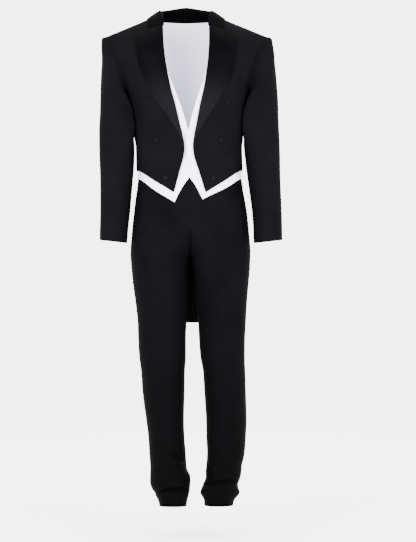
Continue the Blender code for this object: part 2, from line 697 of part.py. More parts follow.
def make_button(name, x, height, grow, size, color, roughness):
    """A covered button, domed in front and flat behind, lying on the cloth."""
    flat = on_front(x, height, grow)
    spot = torso(flat[0], flat[1], grow)
    out = torso_normals(flat[None, None], grow)[0, 0]
    across = np.cross([0.0, 0.0, 1.0], out)
    across /= np.linalg.norm(across)
    up = np.cross(out, across)
    radius, height = size
    profile = [(0.80, 0.0), (0.97, 0.18), (1.0, 0.40), (0.86, 0.74), (0.50, 0.96)]
    points = []
    for share, rise in profile:
        for k in range(BUTTON_SIDES):
            turn = 2 * math.pi * k / BUTTON_SIDES
            flat_part = across * math.cos(turn) + up * math.sin(turn)
            points.append(spot + flat_part * radius * share + out * (SEAM_GAP + height * rise))
    points.append(spot + out * (SEAM_GAP + height))
    faces = [tuple(range(BUTTON_SIDES))]
    for r in range(len(profile) - 1):
        for k in range(BUTTON_SIDES):
            a, b = r * BUTTON_SIDES + k, r * BUTTON_SIDES + (k + 1) % BUTTON_SIDES
            faces.append((a, b, b + BUTTON_SIDES, a + BUTTON_SIDES))
    last = (len(profile) - 1) * BUTTON_SIDES
    top = len(points) - 1
    for k in range(BUTTON_SIDES):
        faces.append((last + k, last + (k + 1) % BUTTON_SIDES, top))
    add_mesh(name, lean(points), faces, color, roughness)


def make_buttons():
    """Six coat buttons in pairs and three waistcoat buttons down the centre."""
    for i, (x, height) in enumerate(COAT_BUTTONS):
        make_button(f"coat_button_L{i + 1}", x, height, COAT_GROW, COAT_BUTTON, SATIN, 0.4)
        make_button(f"coat_button_R{i + 1}", -x, height, COAT_GROW, COAT_BUTTON, SATIN, 0.4)
    for i, height in enumerate(WAISTCOAT_BUTTONS):
        name = f"waistcoat_button_{i + 1}"
        make_button(name, 0.0, height, WAISTCOAT_GROW, WAISTCOAT_BUTTON, WHITE_CLOTH, 0.7)


# Trousers: above the crotch each half runs from full roundness into the centre seam
WAIST_SEAM_HEIGHT = 1.065
WAISTBAND_TOP = 1.104
SEAT_EASE = 0.0070
RISE = [
    (0.834, 1.00),
    (0.846, 0.91),
    (0.862, 0.80),
    (0.900, 0.58),
    (0.950, 0.28),
    (1.000, 0.06),
    (1.040, 0.00),
    (1.110, 0.00),
]
RISE_ROWS = [0.834, 0.846, 0.862, 0.885, 0.915, 0.950, 0.985, 1.020, 1.0648]
LEG_ROWS = [0.090, 0.105, 0.122, 0.140, 0.158, 0.180, 0.205, 0.240, 0.290, 0.350, 0.420]
LEG_ROWS += [0.490, 0.560, 0.630, 0.690, 0.745, 0.795]
LEG_STEPS = 9
HEM_SLANT = 0.012

# Legs below the crotch: height, inner X, outer X, front Y, back Y
LEG_LEFT = [
    (0.090, 0.0412, 0.1275, -0.088, 0.070),
    (0.105, 0.0402, 0.1315, -0.092, 0.073),
    (0.129, 0.0297, 0.1474, -0.096, 0.075),
    (0.153, 0.0372, 0.1425, -0.094, 0.078),
    (0.177, 0.0465, 0.1516, -0.088, 0.082),
    (0.201, 0.0474, 0.1540, -0.087, 0.086),
    (0.249, 0.0495, 0.1630, -0.087, 0.092),
    (0.297, 0.0474, 0.1666, -0.088, 0.096),
    (0.345, 0.0465, 0.1684, -0.090, 0.097),
    (0.441, 0.0405, 0.1660, -0.096, 0.093),
    (0.489, 0.0375, 0.1645, -0.099, 0.090),
    (0.537, 0.0294, 0.1630, -0.101, 0.091),
    (0.585, 0.0255, 0.1636, -0.104, 0.095),
    (0.633, 0.0232, 0.1660, -0.107, 0.100),
    (0.700, 0.0170, 0.1698, -0.110, 0.106),
    (0.760, 0.0098, 0.1750, -0.112, 0.114),
    (0.800, 0.0048, 0.1786, -0.113, 0.122),
    (0.834, 0.0006, 0.1800, -0.113, 0.1265),
]
LEG_RIGHT = [
    (0.090, 0.0113, 0.0927, -0.104, 0.058),
    (0.105, 0.0093, 0.0967, -0.106, 0.060),
    (0.129, 0.0033, 0.1087, -0.110, 0.062),
    (0.153, 0.0003, 0.1192, -0.108, 0.064),
    (0.177, 0.0000, 0.1207, -0.102, 0.068),
    (0.201, 0.0105, 0.1207, -0.099, 0.072),
    (0.249, 0.0141, 0.1237, -0.098, 0.079),
    (0.297, 0.0180, 0.1267, -0.098, 0.085),
    (0.345, 0.0195, 0.1327, -0.099, 0.088),
    (0.441, 0.0171, 0.1447, -0.103, 0.088),
    (0.489, 0.0165, 0.1477, -0.105, 0.087),
    (0.537, 0.0135, 0.1537, -0.106, 0.089),
    (0.585, 0.0135, 0.1567, -0.108, 0.094),
    (0.633, 0.0120, 0.1582, -0.110, 0.099),
    (0.700, 0.0098, 0.1652, -0.112, 0.106),
    (0.760, 0.0078, 0.1734, -0.113, 0.114),
    (0.800, 0.0052, 0.1775, -0.113, 0.122),
    (0.834, 0.0006, 0.1800, -0.113, 0.1265),
]

# Folds over the shoes and behind the knees: turn, height, half turn, half height, slant, depth
FOLDS_LEFT = [
    (-95.0, 0.160, 70.0, 0.008, 0.010, -0.0060),
    (-75.0, 0.190, 26.0, 0.018, 0.000, -0.0035),
    (-95.0, 0.136, 60.0, 0.010, 0.004, 0.0035),
    (-150.0, 0.205, 40.0, 0.020, 0.020, 0.0030),
    (90.0, 0.470, 50.0, 0.020, 0.000, -0.0040),
]
FOLDS_RIGHT = [
    (-85.0, 0.136, 70.0, 0.008, -0.006, -0.0060),
    (-60.0, 0.245, 40.0, 0.012, -0.022, -0.0045),
    (-90.0, 0.165, 70.0, 0.014, 0.000, 0.0035),
    (-150.0, 0.215, 40.0, 0.018, 0.010, -0.0030),
    (90.0, 0.465, 50.0, 0.020, 0.000, -0.0040),
]


def folded(turn, height, folds):
    """How far soft folds stand out from a leg at these turns and heights."""
    total = np.zeros(np.broadcast(turn, height).shape)
    for at, level, half_turn, half_height, slant, depth in folds:
        away = (turn - at) / half_turn
        drop = (height - level - slant * away) / half_height
        total = total + depth * np.exp(-(away**2) - drop**2)
    return total


def leg_ring(turn, level, side):
    """Points of one trouser half at this level. Turn 0 is outside, -90 in front, 90 behind."""
    if level > RISE_ROWS[0]:
        half, front, back = (float(v) for v in columns(FIGURE, level))
        ratio = float(columns(RISE, level)[0])
        low = 1.0 - float(ease(0.834, 0.930, level))
        half = half + TROUSER_GROW + low * 0.0018
        front = front - TROUSER_GROW - low * 0.0036
        back = back + TROUSER_GROW - SEAT_EASE * ratio + low * 0.0007
        inner = -half * (1 - ratio) / (1 + ratio)
    else:
        inner, half, front, back = (
            float(v) for v in columns(LEG_LEFT if side > 0 else LEG_RIGHT, level)
        )
    middle, wide = (half + inner) / 2, (half - inner) / 2
    wave = np.radians(turn)
    across, along = bulge(np.cos(wave)), bulge(np.sin(wave))
    x = middle + wide * across
    y = (front + back) / 2 + (back - front) / 2 * along
    slant = HEM_SLANT * (1 - float(ease(0.090, 0.220, level)))
    z = level - slant * along
    out = folded(turn, level, FOLDS_LEFT if side > 0 else FOLDS_RIGHT)
    return np.stack([x + out * across, y + out * along, z], -1)


def rise_turn(level):
    """How far round from the outside each half runs at this level, in degrees."""
    if level <= RISE_ROWS[0]:
        return 180.0
    ratio = float(columns(RISE, level)[0])
    return math.degrees(math.acos(-(ratio ** (SHAPE / 2))))


def make_trousers():
    """Fronts and backs of both legs, the waistband and the fly."""
    levels = LEG_ROWS + RISE_ROWS
    for side, label in ((1, "_L"), (-1, "_R")):
        rows = []
        for level in levels:
            reach = rise_turn(level)
            turn = np.linspace(-reach, reach, 2 * LEG_STEPS + 1)
            rows.append(leg_ring(turn, level, side))
        grid = np.array(rows)
        out = normals(grid)
        legs = len(LEG_ROWS) + 1
        out[:legs] = closed_normals(grid[:legs])
        front = grid[:, : LEG_STEPS + 1], out[:, : LEG_STEPS + 1]
        back = grid[:, LEG_STEPS:], out[:, LEG_STEPS:]
        for name, (outer, face) in (("front", front), ("back", back)):
            outer = drawn_in(outer, "lrt")
            if side < 0:
                outer, face = mirrored(outer), mirrored(face)
            wall(f"trouser_{name}{label}", outer, face, TROUSER_CLOTH, 0.8)
    make_waistband()
    make_fly()


def closed_normals(grid):
    """Normals of rings whose first and last points coincide."""
    out = normals(grid[:, :-1], ring=True)
    return np.concatenate([out, out[:, :1]], axis=1)


def make_waistband():
    """A band round the waist above the trouser fronts and backs."""
    angle = np.linspace(0, 360, 37)[:-1]
    height = np.array([WAIST_SEAM_HEIGHT + SEAM_GAP, 1.085, WAISTBAND_TOP])
    flat = np.stack(np.broadcast_arrays(angle[None], height[:, None]), -1)
    wrapped = (flat[..., 0] + 180) % 360 - 180
    outer = torso(wrapped, flat[..., 1], TROUSER_GROW)
    wall("waistband", outer, normals(outer, ring=True), TROUSER_CLOTH, 0.8, ring=True)


# The fly laps from the wearer's left over the centre seam
FLY_EDGE = -0.0105
FLY_WIDTH = 0.034
FLY_LEVELS = [0.915, 0.950, 0.985, 1.020, 1.048]
FLY_GAP = 0.0008


def make_fly():
    """The lap of the fly, made from the points of the fronts beneath it and moved out."""
    rows = []
    for level in FLY_LEVELS:
        reach = rise_turn(level)
        turn = np.linspace(-reach, -reach / 3, 400)
        ring = leg_ring(turn, level, 1)
        narrow = float(ease(0.895, 0.955, level))
        x = np.linspace(FLY_EDGE * (0.3 + 0.7 * narrow), FLY_WIDTH * (0.4 + 0.6 * narrow), 7)
        y = np.interp(np.maximum(np.abs(x), 0.012), ring[:, 0], ring[:, 1])
        rows.append(np.stack([x, y, np.full(7, level)], -1))
    grid = np.array(rows)
    out = normals(grid)
    out[..., 0] *= 0.3
    out /= np.linalg.norm(out, axis=-1, keepdims=True)
    wall("fly", grid + out * (FLY_GAP + 0.0015), out, TROUSER_CLOTH, 0.8, 0.0015)


def clear_scene():
    """Empty the starting scene."""
    for thing in list(bpy.data.objects):
        bpy.data.objects.remove(thing)


clear_scene()
SUIT = bpy.data.collections.new("Tailcoat_suit")
bpy.context.scene.collection.children.link(SUIT)
STAND = bpy.data.objects.new("stand", None)
SUIT.objects.link(STAND)
STAND.location = (LEAN * (HOLD_HEIGHT - LEAN_FROM), -HOLD_DEPTH, -HOLD_HEIGHT)
bpy.context.view_layer.update()

seams = coat_seams()
make_body(seams)
make_lapels()
make_collar()
make_sleeves(seams)
make_waistcoat()
make_buttons()
make_trousers()
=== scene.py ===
import math

import bpy
import numpy as np
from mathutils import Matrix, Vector


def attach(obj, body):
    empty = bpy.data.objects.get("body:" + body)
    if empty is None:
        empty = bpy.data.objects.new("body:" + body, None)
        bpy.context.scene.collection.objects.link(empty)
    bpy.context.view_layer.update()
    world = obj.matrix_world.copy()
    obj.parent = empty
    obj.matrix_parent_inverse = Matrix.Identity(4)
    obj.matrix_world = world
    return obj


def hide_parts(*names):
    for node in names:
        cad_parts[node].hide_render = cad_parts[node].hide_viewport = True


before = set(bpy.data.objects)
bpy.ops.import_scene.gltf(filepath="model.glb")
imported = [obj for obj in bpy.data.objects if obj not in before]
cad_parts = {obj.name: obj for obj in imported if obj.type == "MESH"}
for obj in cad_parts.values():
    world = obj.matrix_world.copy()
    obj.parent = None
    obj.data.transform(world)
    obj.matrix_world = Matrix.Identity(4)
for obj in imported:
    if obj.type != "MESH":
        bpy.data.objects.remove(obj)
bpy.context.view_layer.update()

# The studio: a pale floor under the hems, which hang clear of it, and soft light from both sides.
# The camera is level at hip height, as the photograph's.
LEAN = 0.0235
LEAN_FROM = 0.97
HOLD = (0.0, 0.01, 1.5)


def place(points):
    """Points measured from the floor, leaned above the hips and moved to the origin."""
    moved = np.array(points, float)
    moved[..., 0] -= LEAN * (np.maximum(0, moved[..., 2] - LEAN_FROM) - (HOLD[2] - LEAN_FROM))
    return moved - np.array(HOLD)


def add(name, data):
    """A new object in the scene."""
    made = bpy.data.objects.new(name, data)
    bpy.context.scene.collection.objects.link(made)
    return made


CAMERA_DISTANCE = 7.5
CAMERA_ASIDE = 0.0525 + LEAN * (HOLD[2] - LEAN_FROM)
CAMERA_HEIGHT = 0.792
SENSOR_HEIGHT = 36
VIEW_HEIGHT = 1.626
FLOOR_REACH = 30
FLOOR_WHITE = (0.96, 0.96, 0.96, 1)

camera = add("camera", bpy.data.cameras.new("camera"))
camera.location = (CAMERA_ASIDE, -CAMERA_DISTANCE - HOLD[1], CAMERA_HEIGHT - HOLD[2])
camera.rotation_euler = (math.pi / 2, 0, 0)
camera.data.sensor_fit = "VERTICAL"
camera.data.sensor_height = SENSOR_HEIGHT
camera.data.lens = SENSOR_HEIGHT * CAMERA_DISTANCE / VIEW_HEIGHT
camera.data.clip_end = 100
bpy.context.scene.camera = camera

floor_mesh = bpy.data.meshes.new("floor")
corners = [(x * FLOOR_REACH, y * FLOOR_REACH, 0) for x, y in ((-1, -1), (1, -1), (1, 1), (-1, 1))]
floor_mesh.from_pydata(corners, [], [(0, 1, 2, 3)])
floor = add("floor", floor_mesh)
floor.location = (0, 0, -HOLD[2])
floor_paint = bpy.data.materials.new("floor_paint")
floor_paint.use_nodes = True
floor_shader = floor_paint.node_tree.nodes["Principled BSDF"]
floor_shader.inputs["Base Color"].default_value = FLOOR_WHITE
floor_shader.inputs["Roughness"].default_value = 0.9
floor_mesh.materials.append(floor_paint)

world = bpy.data.worlds.new("studio")
world.use_nodes = True
sky = world.node_tree.nodes["Background"]
sky.inputs["Color"].default_value = (1, 1, 1, 1)
sky.inputs["Strength"].default_value = 5.4
bpy.context.scene.world = world

# Softboxes: name, spot, aimed at, width, height, watts
LIGHTS = [
    ("key", (-1.8, -4.2, 0.7), (0, 0, -0.4), 2.0, 2.6, 380),
    ("fill", (2.2, -4.0, 0.4), (0, 0, -0.6), 2.0, 2.6, 245),
    ("back", (0.6, 4.2, 1.4), (0, 0, -0.4), 2.4, 2.6, 95),
]
for name, spot, aim, wide, tall, watts in LIGHTS:
    light = add(name, bpy.data.lights.new(name, "AREA"))
    light.data.shape = "RECTANGLE"
    light.data.size = wide
    light.data.size_y = tall
    light.data.energy = watts
    light.location = spot
    light.rotation_euler = (Vector(aim) - Vector(spot)).to_track_quat("-Z", "Y").to_euler()

# The coat's foreparts: the two fronts of black wool twill, cut away from the waist to the hip and
# sewn to the backs at the shoulder and to the side bodies under the arm. The coat's form, shared
# by every panel sewn to it, is settled here.

# How square the body's sections are, and how far the cloth of each garment stands off the form
SHAPE = 2.3
SEAT_SHAPE = 3.1
TROUSER_GROW = -0.004
WAISTCOAT_GROW = 0.002
COAT_GROW = 0.0071
# How far an edge is let out to its seam, and how thick most of the cloth is
SEAM_LAP = 0.0003
SHELL = 0.0012
# Heights between which the seat's squarer section ends, and the cloth rises onto the shoulders
SEAT_ENDS = (0.9, 1.06)
YOKE = (1.25, 1.45)

# The general form under the suit: height, half width, foremost and hindmost Y
FIGURE = [
    (0.6, 0.171, -0.105, 0.129),
    (0.75, 0.1762, -0.11, 0.133),
    (0.85, 0.1825, -0.114, 0.137),
    (0.9, 0.1803, -0.116, 0.137),
    (0.945, 0.1765, -0.117, 0.133),
    (0.993, 0.1703, -0.117, 0.124),
    (1.041, 0.1618, -0.116, 0.11),
    (1.09, 0.1521, -0.114, 0.098),
    (1.155, 0.152, -0.113, 0.094),
    (1.21, 0.1582, -0.116, 0.102),
    (1.27, 0.166, -0.122, 0.116),
    (1.33, 0.184, -0.125, 0.128),
    (1.36, 0.199, -0.124, 0.132),
    (1.4, 0.215, -0.119, 0.134),
    (1.44, 0.23, -0.11, 0.13),
    (1.49, 0.244, -0.094, 0.116),
    (1.53, 0.25, -0.08, 0.102),
    (1.57, 0.254, -0.066, 0.088),
]

# The shoulder ridge, where front and back meet: distance from the centre, height
RIDGE = [
    (0.0, 1.6), (0.05, 1.584), (0.0765, 1.5625), (0.0855, 1.555), (0.0975, 1.5468),
    (0.1155, 1.5385), (0.232, 1.4895), (0.3, 1.4615),
]
# Metres that a degree counts for when steps along a seam are spaced
DEGREE = 0.003
# How far below the ridge the form starts to draw in, in front and behind
FRONT_ROLL = 0.115
BACK_ROLL = 0.14
# Degrees and metres to the neighbours that a normal is worked out from, and below the ridge
NEAR_TURN = 0.4
NEAR_CLIMB = 0.0008
UNDER_RIDGE = 0.0005


def columns(rows, at):
    """The columns of a table after its first, read smoothly at these values of the first."""
    rows = np.array(rows, float)
    at = np.asarray(at, float)
    key, value = rows[:, 0], rows[:, 1:]
    step = np.diff(key)
    rate = np.diff(value, axis=0) / step[:, None]
    slope = np.zeros_like(value)
    slope[0], slope[-1] = rate[0], rate[-1]
    before, after = rate[:-1], rate[1:]
    same = before * after > 0
    mean = 2 * before * after / np.where(same, before + after, 1)
    slope[1:-1] = np.where(same, mean, 0)
    i = np.clip(np.searchsorted(key, at, side="right") - 1, 0, len(key) - 2)
    t = np.clip((at - key[i]) / step[i], 0, 1)[..., None]
    h = step[i][..., None]
    read = (
        value[i] * (2 * t**3 - 3 * t**2 + 1)
        + slope[i] * h * (t**3 - 2 * t**2 + t)
        + value[i + 1] * (3 * t**2 - 2 * t**3)
        + slope[i + 1] * h * (t**3 - t**2)
    )
    return [read[..., c] for c in range(value.shape[1])]


def ease(low, high, x):
    """0 below low, 1 above high, smooth between."""
    t = np.clip((np.asarray(x, float) - low) / (high - low), 0, 1)
    return t * t * (3 - 2 * t)


def bulge(wave, shape=SHAPE):
    """A sine or cosine turned into the fuller curve of the body's sections."""
    return np.sign(wave) * np.abs(wave) ** (2 / shape)


def ridge(x):
    """Height of the bare shoulder ridge at this distance from the centre."""
    return columns(RIDGE, np.abs(x))[0]


def unit(vectors):
    """These vectors at length 1."""
    return vectors / np.linalg.norm(vectors, axis=-1, keepdims=True)


def torso(angle, height, grow):
    """A point of the worn surface. Angle 0 is the left side, -90 the front, 90 the back."""
    angle = np.radians(angle)
    half, front, back = columns(FIGURE, height)
    behind = (np.sin(angle) > 0) * (1 - ease(*SEAT_ENDS, height))
    shape = SHAPE + (SEAT_SHAPE - SHAPE) * behind
    across, along = bulge(np.cos(angle), shape), bulge(np.sin(angle), shape)
    middle = (front + back) / 2
    deep = np.where(along < 0, middle - front, back - middle) + grow
    roll = np.where(along < 0, FRONT_ROLL, BACK_ROLL)
    under = np.clip((ridge(half * across) - height) / roll, 0, 1)
    drawn_in = np.sqrt(1 - (1 - under) ** 2)
    rise = grow * ease(*YOKE, height)
    return np.stack([(half + grow) * across, middle + deep * along * drawn_in, height + rise], -1)


def worn(flat, grow):
    """Points and unit normals of the worn surface at these angles and heights."""
    angle, height = flat[..., 0], flat[..., 1]
    points = torso(angle, height, grow)
    half = columns(FIGURE, height)[0]
    top = ridge(half * bulge(np.cos(np.radians(angle)))) - UNDER_RIDGE
    on_seam = height > top
    height = np.minimum(height, top)
    turn = torso(angle + NEAR_TURN, height, grow) - torso(angle - NEAR_TURN, height, grow)
    climb = torso(angle, height, grow) - torso(angle, height - NEAR_CLIMB, grow)
    out = np.cross(turn, climb)
    out[..., 1] *= 1 - on_seam
    return points, unit(out)


def on_front(x, height, grow):
    """The angle and figure height at which the worn front has this X and height."""
    figure_height = height - grow * ease(*YOKE, height)
    half = columns(FIGURE, figure_height)[0] + grow
    ratio = np.clip(np.abs(x) / half, 0, 1) ** (SHAPE / 2)
    angle = -np.degrees(np.arccos(np.sign(x) * ratio))
    return np.stack([angle, figure_height], -1)


def on_ridge(x, side):
    """Angle and figure height of a point on the shoulder seam, from front (-1) or back (1)."""
    height = ridge(x)
    half = columns(FIGURE, height)[0]
    return np.stack([side * np.degrees(np.arccos((x / half) ** (SHAPE / 2))), height], -1)


def lengths(points):
    """The distance of each point of a run from its first, along the run."""
    return np.r_[0, np.cumsum(np.linalg.norm(np.diff(points, axis=0), axis=1))]


def spread(count, power=1.0):
    """Count + 1 values from 0 to 1, closer together near 1 when power is above 1."""
    return 1 - (1 - np.linspace(0, 1, count + 1)) ** power


def patch(left, right, bottom, top):
    """A grid of points between four edges: left and right run up, bottom and top run across."""
    u = np.linspace(0, 1, len(bottom))[None, :, None]
    v = np.linspace(0, 1, len(left))[:, None, None]
    corners = (
        (1 - u) * (1 - v) * bottom[0]
        + u * (1 - v) * bottom[-1]
        + (1 - u) * v * top[0]
        + u * v * top[-1]
    )
    across = (1 - u) * left[:, None] + u * right[:, None]
    return across + (1 - v) * bottom[None] + v * top[None] - corners


def joined(*runs):
    """Runs of points end to end, each starting where the last one stops."""
    return np.concatenate([runs[0]] + [run[1:] for run in runs[1:]])


def flat_run(rows, count, power=1.0, scale=DEGREE):
    """Angle and height along a line, evenly read. A degree counts for scale metres."""
    rows = np.array(rows, float)
    along = lengths(rows * [scale, 1.0])
    return np.stack(columns(np.column_stack([along, rows]), along[-1] * spread(count, power)), -1)


def front_run(rows, grow, count, power=1.0):
    """The same along a line on the worn front that is given by X and height."""
    return on_front(*flat_run(rows, count, power, 1.0).T, grow)


def ridge_run(start, stop, side, count):
    """Angle and height along the shoulder seam between two distances from the centre."""
    return np.stack([on_ridge(x, side) for x in np.linspace(start, stop, count + 1)])


def from_edge(grid, edge):
    """The same grid seen so that its columns count inwards from this edge: l, r, b or t."""
    return {
        "l": grid,
        "r": grid[:, ::-1],
        "b": grid.swapaxes(0, 1),
        "t": grid[::-1].swapaxes(0, 1),
    }[edge]


def let_out(grid, edges):
    """The grid with these edges let out to meet the panel sewn to them."""
    grid = grid.copy()
    for edge in edges:
        view = from_edge(grid, edge)
        view[:, 0] -= unit(view[:, 1] - view[:, 0]) * SEAM_LAP
    return grid


def mirrored(grid):
    """The same grid on the other side, its columns still anticlockwise."""
    return grid[:, ::-1] * np.array([-1.0, 1.0, 1.0])


def on_side(label, *grids):
    """These grids as they are on the left, L, or mirrored on the right, R."""
    return grids if label == "L" else [mirrored(grid) for grid in grids]


def centre_line(rise):
    """Angle and height along the centre back at these heights."""
    return np.column_stack([np.full(len(rise), 90.0), rise])


def whole(grid):
    """A half that ends at the centre back, together with its mirror image."""
    return np.concatenate([grid, mirrored(grid)[:, 1:]], axis=1)


# How far an edge is pressed in, and how wide the pressed strip is
EDGE_PRESS = (0.0007, 0.0035)


def turned_edge(grid, out, edges, deep, wide):
    """The grid with these edges sinking a little, as cloth does towards a pressed seam or hem."""
    sunk = grid.copy()
    for edge in edges:
        away = np.insert(np.cumsum(steps_along(from_edge(grid, edge), 1), axis=1), 0, 0, axis=1)
        view = from_edge(sunk, edge)
        view -= from_edge(out, edge) * (deep * np.exp(-((away / wide) ** 2)))[..., None]
    return sunk


# How far a fold bows, as a share of its width, how fast that turns along it and with its place
FOLD_BOW = 0.16
BOW_TURN = 5.1
BOW_PLACE = 40
# Where a fold stops being full, and how soon it dies away
FOLD_FULL = 0.55
FOLD_FADE = 0.3


def crease(x, z, folds):
    """How far soft folds stand out: x and z at each end, width, and height (below 0 a trough)."""
    total = np.zeros(np.shape(x))
    for x0, z0, x1, z1, wide, high in folds:
        along = np.array([x1 - x0, z1 - z0])
        long = np.hypot(*along)
        t = ((x - x0) * along[0] + (z - z0) * along[1]) / long**2
        bow = FOLD_BOW * wide * np.sin(BOW_TURN * t + BOW_PLACE * x0)
        off = ((x - x0) * -along[1] + (z - z0) * along[0]) / long + bow
        past = np.clip(np.abs(t - 0.5) * 2 - FOLD_FULL, 0, None)
        fade = np.exp(-((past / FOLD_FADE) ** 2))
        total = total + high * np.exp(-((off / wide) ** 2)) * fade
    return total


def cells(grid):
    """The four corners of each cell of a grid, anticlockwise, one row a cell."""
    corners = (grid[:-1, :-1], grid[:-1, 1:], grid[1:, 1:], grid[1:, :-1])
    return np.stack(corners, axis=2).reshape(-1, 4, *grid.shape[2:])


def steps_along(grid, axis):
    """The distance between each point of a grid and the next along this axis."""
    return np.linalg.norm(np.diff(grid, axis=axis), axis=-1)


def closed(grid, ring):
    """The grid with its first column repeated at the end where it is a ring."""
    return np.concatenate([grid, grid[:, :1]], axis=1) if ring else grid


def weave_map(outer, front_edge):
    """Metres across and up the cloth, from its middle or from its front edge, l or r."""
    across = np.insert(np.cumsum(steps_along(outer, 1), axis=1), 0, 0, axis=1)
    up = np.insert(np.cumsum(steps_along(outer, 0), axis=0), 0, 0, axis=0)
    if front_edge == "r":
        across = across[:, -1:] - across
    elif front_edge is None:
        across -= across.mean(axis=1, keepdims=True)
    return np.stack([across, up], -1)


def add_piece(name, points, faces, weave, materials):
    """A smooth new piece from points and faces, with its weave map, riding on the body."""
    mesh = bpy.data.meshes.new(name)
    mesh.from_pydata(place(points).tolist(), [], faces)
    mesh.uv_layers.new(name="weave").data.foreach_set("uv", weave.ravel())
    mesh.polygons.foreach_set("use_smooth", [True] * len(faces))
    for material in materials:
        mesh.materials.append(material)
    piece = add(name, mesh)
    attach(piece, "root")
    return piece


def shell(name, outer, out, faced, thick, ring, front_edge):
    """A thin panel with its weave map, its rim on points of its own so that its edge is crisp."""
    rows, cols = outer.shape[:2]
    count = rows * cols
    points = np.concatenate([outer.reshape(-1, 3), (outer - thick * out).reshape(-1, 3)])
    index = closed(np.arange(count).reshape(rows, cols), ring)
    front = cells(index)
    weave = cells(weave_map(closed(outer, ring), front_edge))
    borders = [index[0], index[-1, ::-1]]
    if not ring:
        borders += [index[::-1, 0], index[:, -1]]
    rims = [np.stack([b[1:], b[:-1], b[:-1] + count, b[1:] + count], -1) for b in borders]
    on_rim, order = np.unique(np.concatenate(rims), return_inverse=True)
    rim = order.reshape(-1, 4) + 2 * count
    points = np.concatenate([points, points[on_rim]])
    faces = np.concatenate([front, front[:, ::-1] + count, rim])
    spots = np.concatenate([weave, weave[:, ::-1], np.zeros((len(rim), 4, 2))])
    sides = np.repeat([0, 1, 2], [len(front), len(front), len(rim)])
    piece = add_piece(name, points, faces.tolist(), spots, faced)
    piece.data.polygons.foreach_set("material_index", (sides == 1).astype(int))
    piece.data.polygons.foreach_set("use_smooth", sides < 2)
    piece.data.validate()
    return piece


def sew(name, outer, out, fabric, rests_on, thick=SHELL, ring=False, held="hung", front_edge=None):
    """A panel in place of its solid: a thin shell of its cloth, with the solid hidden."""
    piece = shell(name + "_cloth", outer, out, fabric[:2], thick, ring, front_edge)
    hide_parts(name)
    loop = closed(outer, ring)
    twice = np.cross(loop[1:, 1:] - loop[:-1, :-1], loop[1:, :-1] - loop[:-1, 1:])


def sew_pair(name, panel, out, folds, pressed, fabric, under, depth=EDGE_PRESS, **how):
    """A left panel and its mirror image, with the folds of each. A * in under is L or R."""
    for label in "LR":
        grid, face = on_side(label, panel, out)
        grid = grid + face * crease(grid[..., 0], grid[..., 2], folds[label])[..., None]
        grid = turned_edge(grid, face, pressed, *depth)
        sew(f"{name}_{label}", grid, face, fabric, [under.replace("*", label)], **how)


# A full turn in radians
TURN = 2 * math.pi


class Wire:
    """A shader socket that can be added, subtracted and multiplied like a number."""

    def __init__(self, tree, socket):
        self.tree = tree
        self.socket = socket

    def node(self, kind, settings=None, out=0, **inputs):
        """The output of a new node of this type, with settings made first and inputs joined."""
        made = self.tree.nodes.new(kind)
        for key, value in (settings or {}).items():
            setattr(made, key, value)
        for key, value in inputs.items():
            spot = made.inputs[int(key[1:])] if key[1:].isdigit() else made.inputs[key.replace("_", " ")]
            if isinstance(value, Wire):
                self.tree.links.new(value.socket, spot)
            else:
                spot.default_value = value
        return Wire(self.tree, made.outputs[out])

    def maths(self, operation, *values):
        inputs = {f"i{k}": value for k, value in enumerate(values)}
        return self.node("ShaderNodeMath", {"operation": operation}, **inputs)

    def __add__(self, other):
        return self.maths("ADD", self, other)

    def __sub__(self, other):
        return self.maths("SUBTRACT", self, other)

    def __rsub__(self, other):
        return self.maths("SUBTRACT", other, self)

    def __mul__(self, other):
        return self.maths("MULTIPLY", self, other)

    __radd__ = __add__
    __rmul__ = __mul__

    def wave(self, pitch):
        """A sine wave over this distance, one turn for each pitch."""
        return self.maths("SINE", self * (TURN / pitch))

    def clamp(self):
        return self.maths("MINIMUM", self.maths("MAXIMUM", self, 0.0), 1.0)

    def noise(self, scale, detail=2.0, roughness=0.5):
        """Soft noise over this vector."""
        settings = {"noise_dimensions": "3D"}
        return self.node("ShaderNodeTexNoise", settings, Vector=self, Scale=scale, Detail=detail,
                         Roughness=roughness)

    def tint(self, low, high):
        """A colour between two, by this amount."""
        settings = {"data_type": "RGBA", "clamp_factor": True}
        return self.node("ShaderNodeMix", settings, out=2, i0=self, i6=(*low, 1), i7=(*high, 1))


def cloth_material(name):
    """A new material with its shader, object coordinates, and the weave map's two axes."""
    made = bpy.data.materials.new(name)
    made.use_nodes = True
    tree = made.node_tree
    shader = tree.nodes["Principled BSDF"]
    start = Wire(tree, None)
    spot = start.node("ShaderNodeTexCoord", out=3)
    weave = start.node("ShaderNodeUVMap", {"uv_map": "weave"})
    across = weave.node("ShaderNodeSeparateXYZ", Vector=weave)
    along = Wire(tree, across.socket.node.outputs[1])
    return made, shader, spot, across, along


def height_of(spot):
    """The height part of object coordinates."""
    return spot.node("ShaderNodeSeparateXYZ", out=2, Vector=spot)


def finish_cloth(made, shader, color, roughness, height, depth, distance, shine=0.5):
    """The material with colour, roughness and relief joined to its shader, and its shine set."""
    tree = made.node_tree
    tree.links.new(color.socket, shader.inputs["Base Color"])
    tree.links.new(roughness.socket, shader.inputs["Roughness"])
    bump = height.node("ShaderNodeBump", Height=height, Strength=depth, Distance=distance)
    tree.links.new(bump.socket, shader.inputs["Normal"])
    shader.inputs["Specular IOR Level"].default_value = shine
    return made


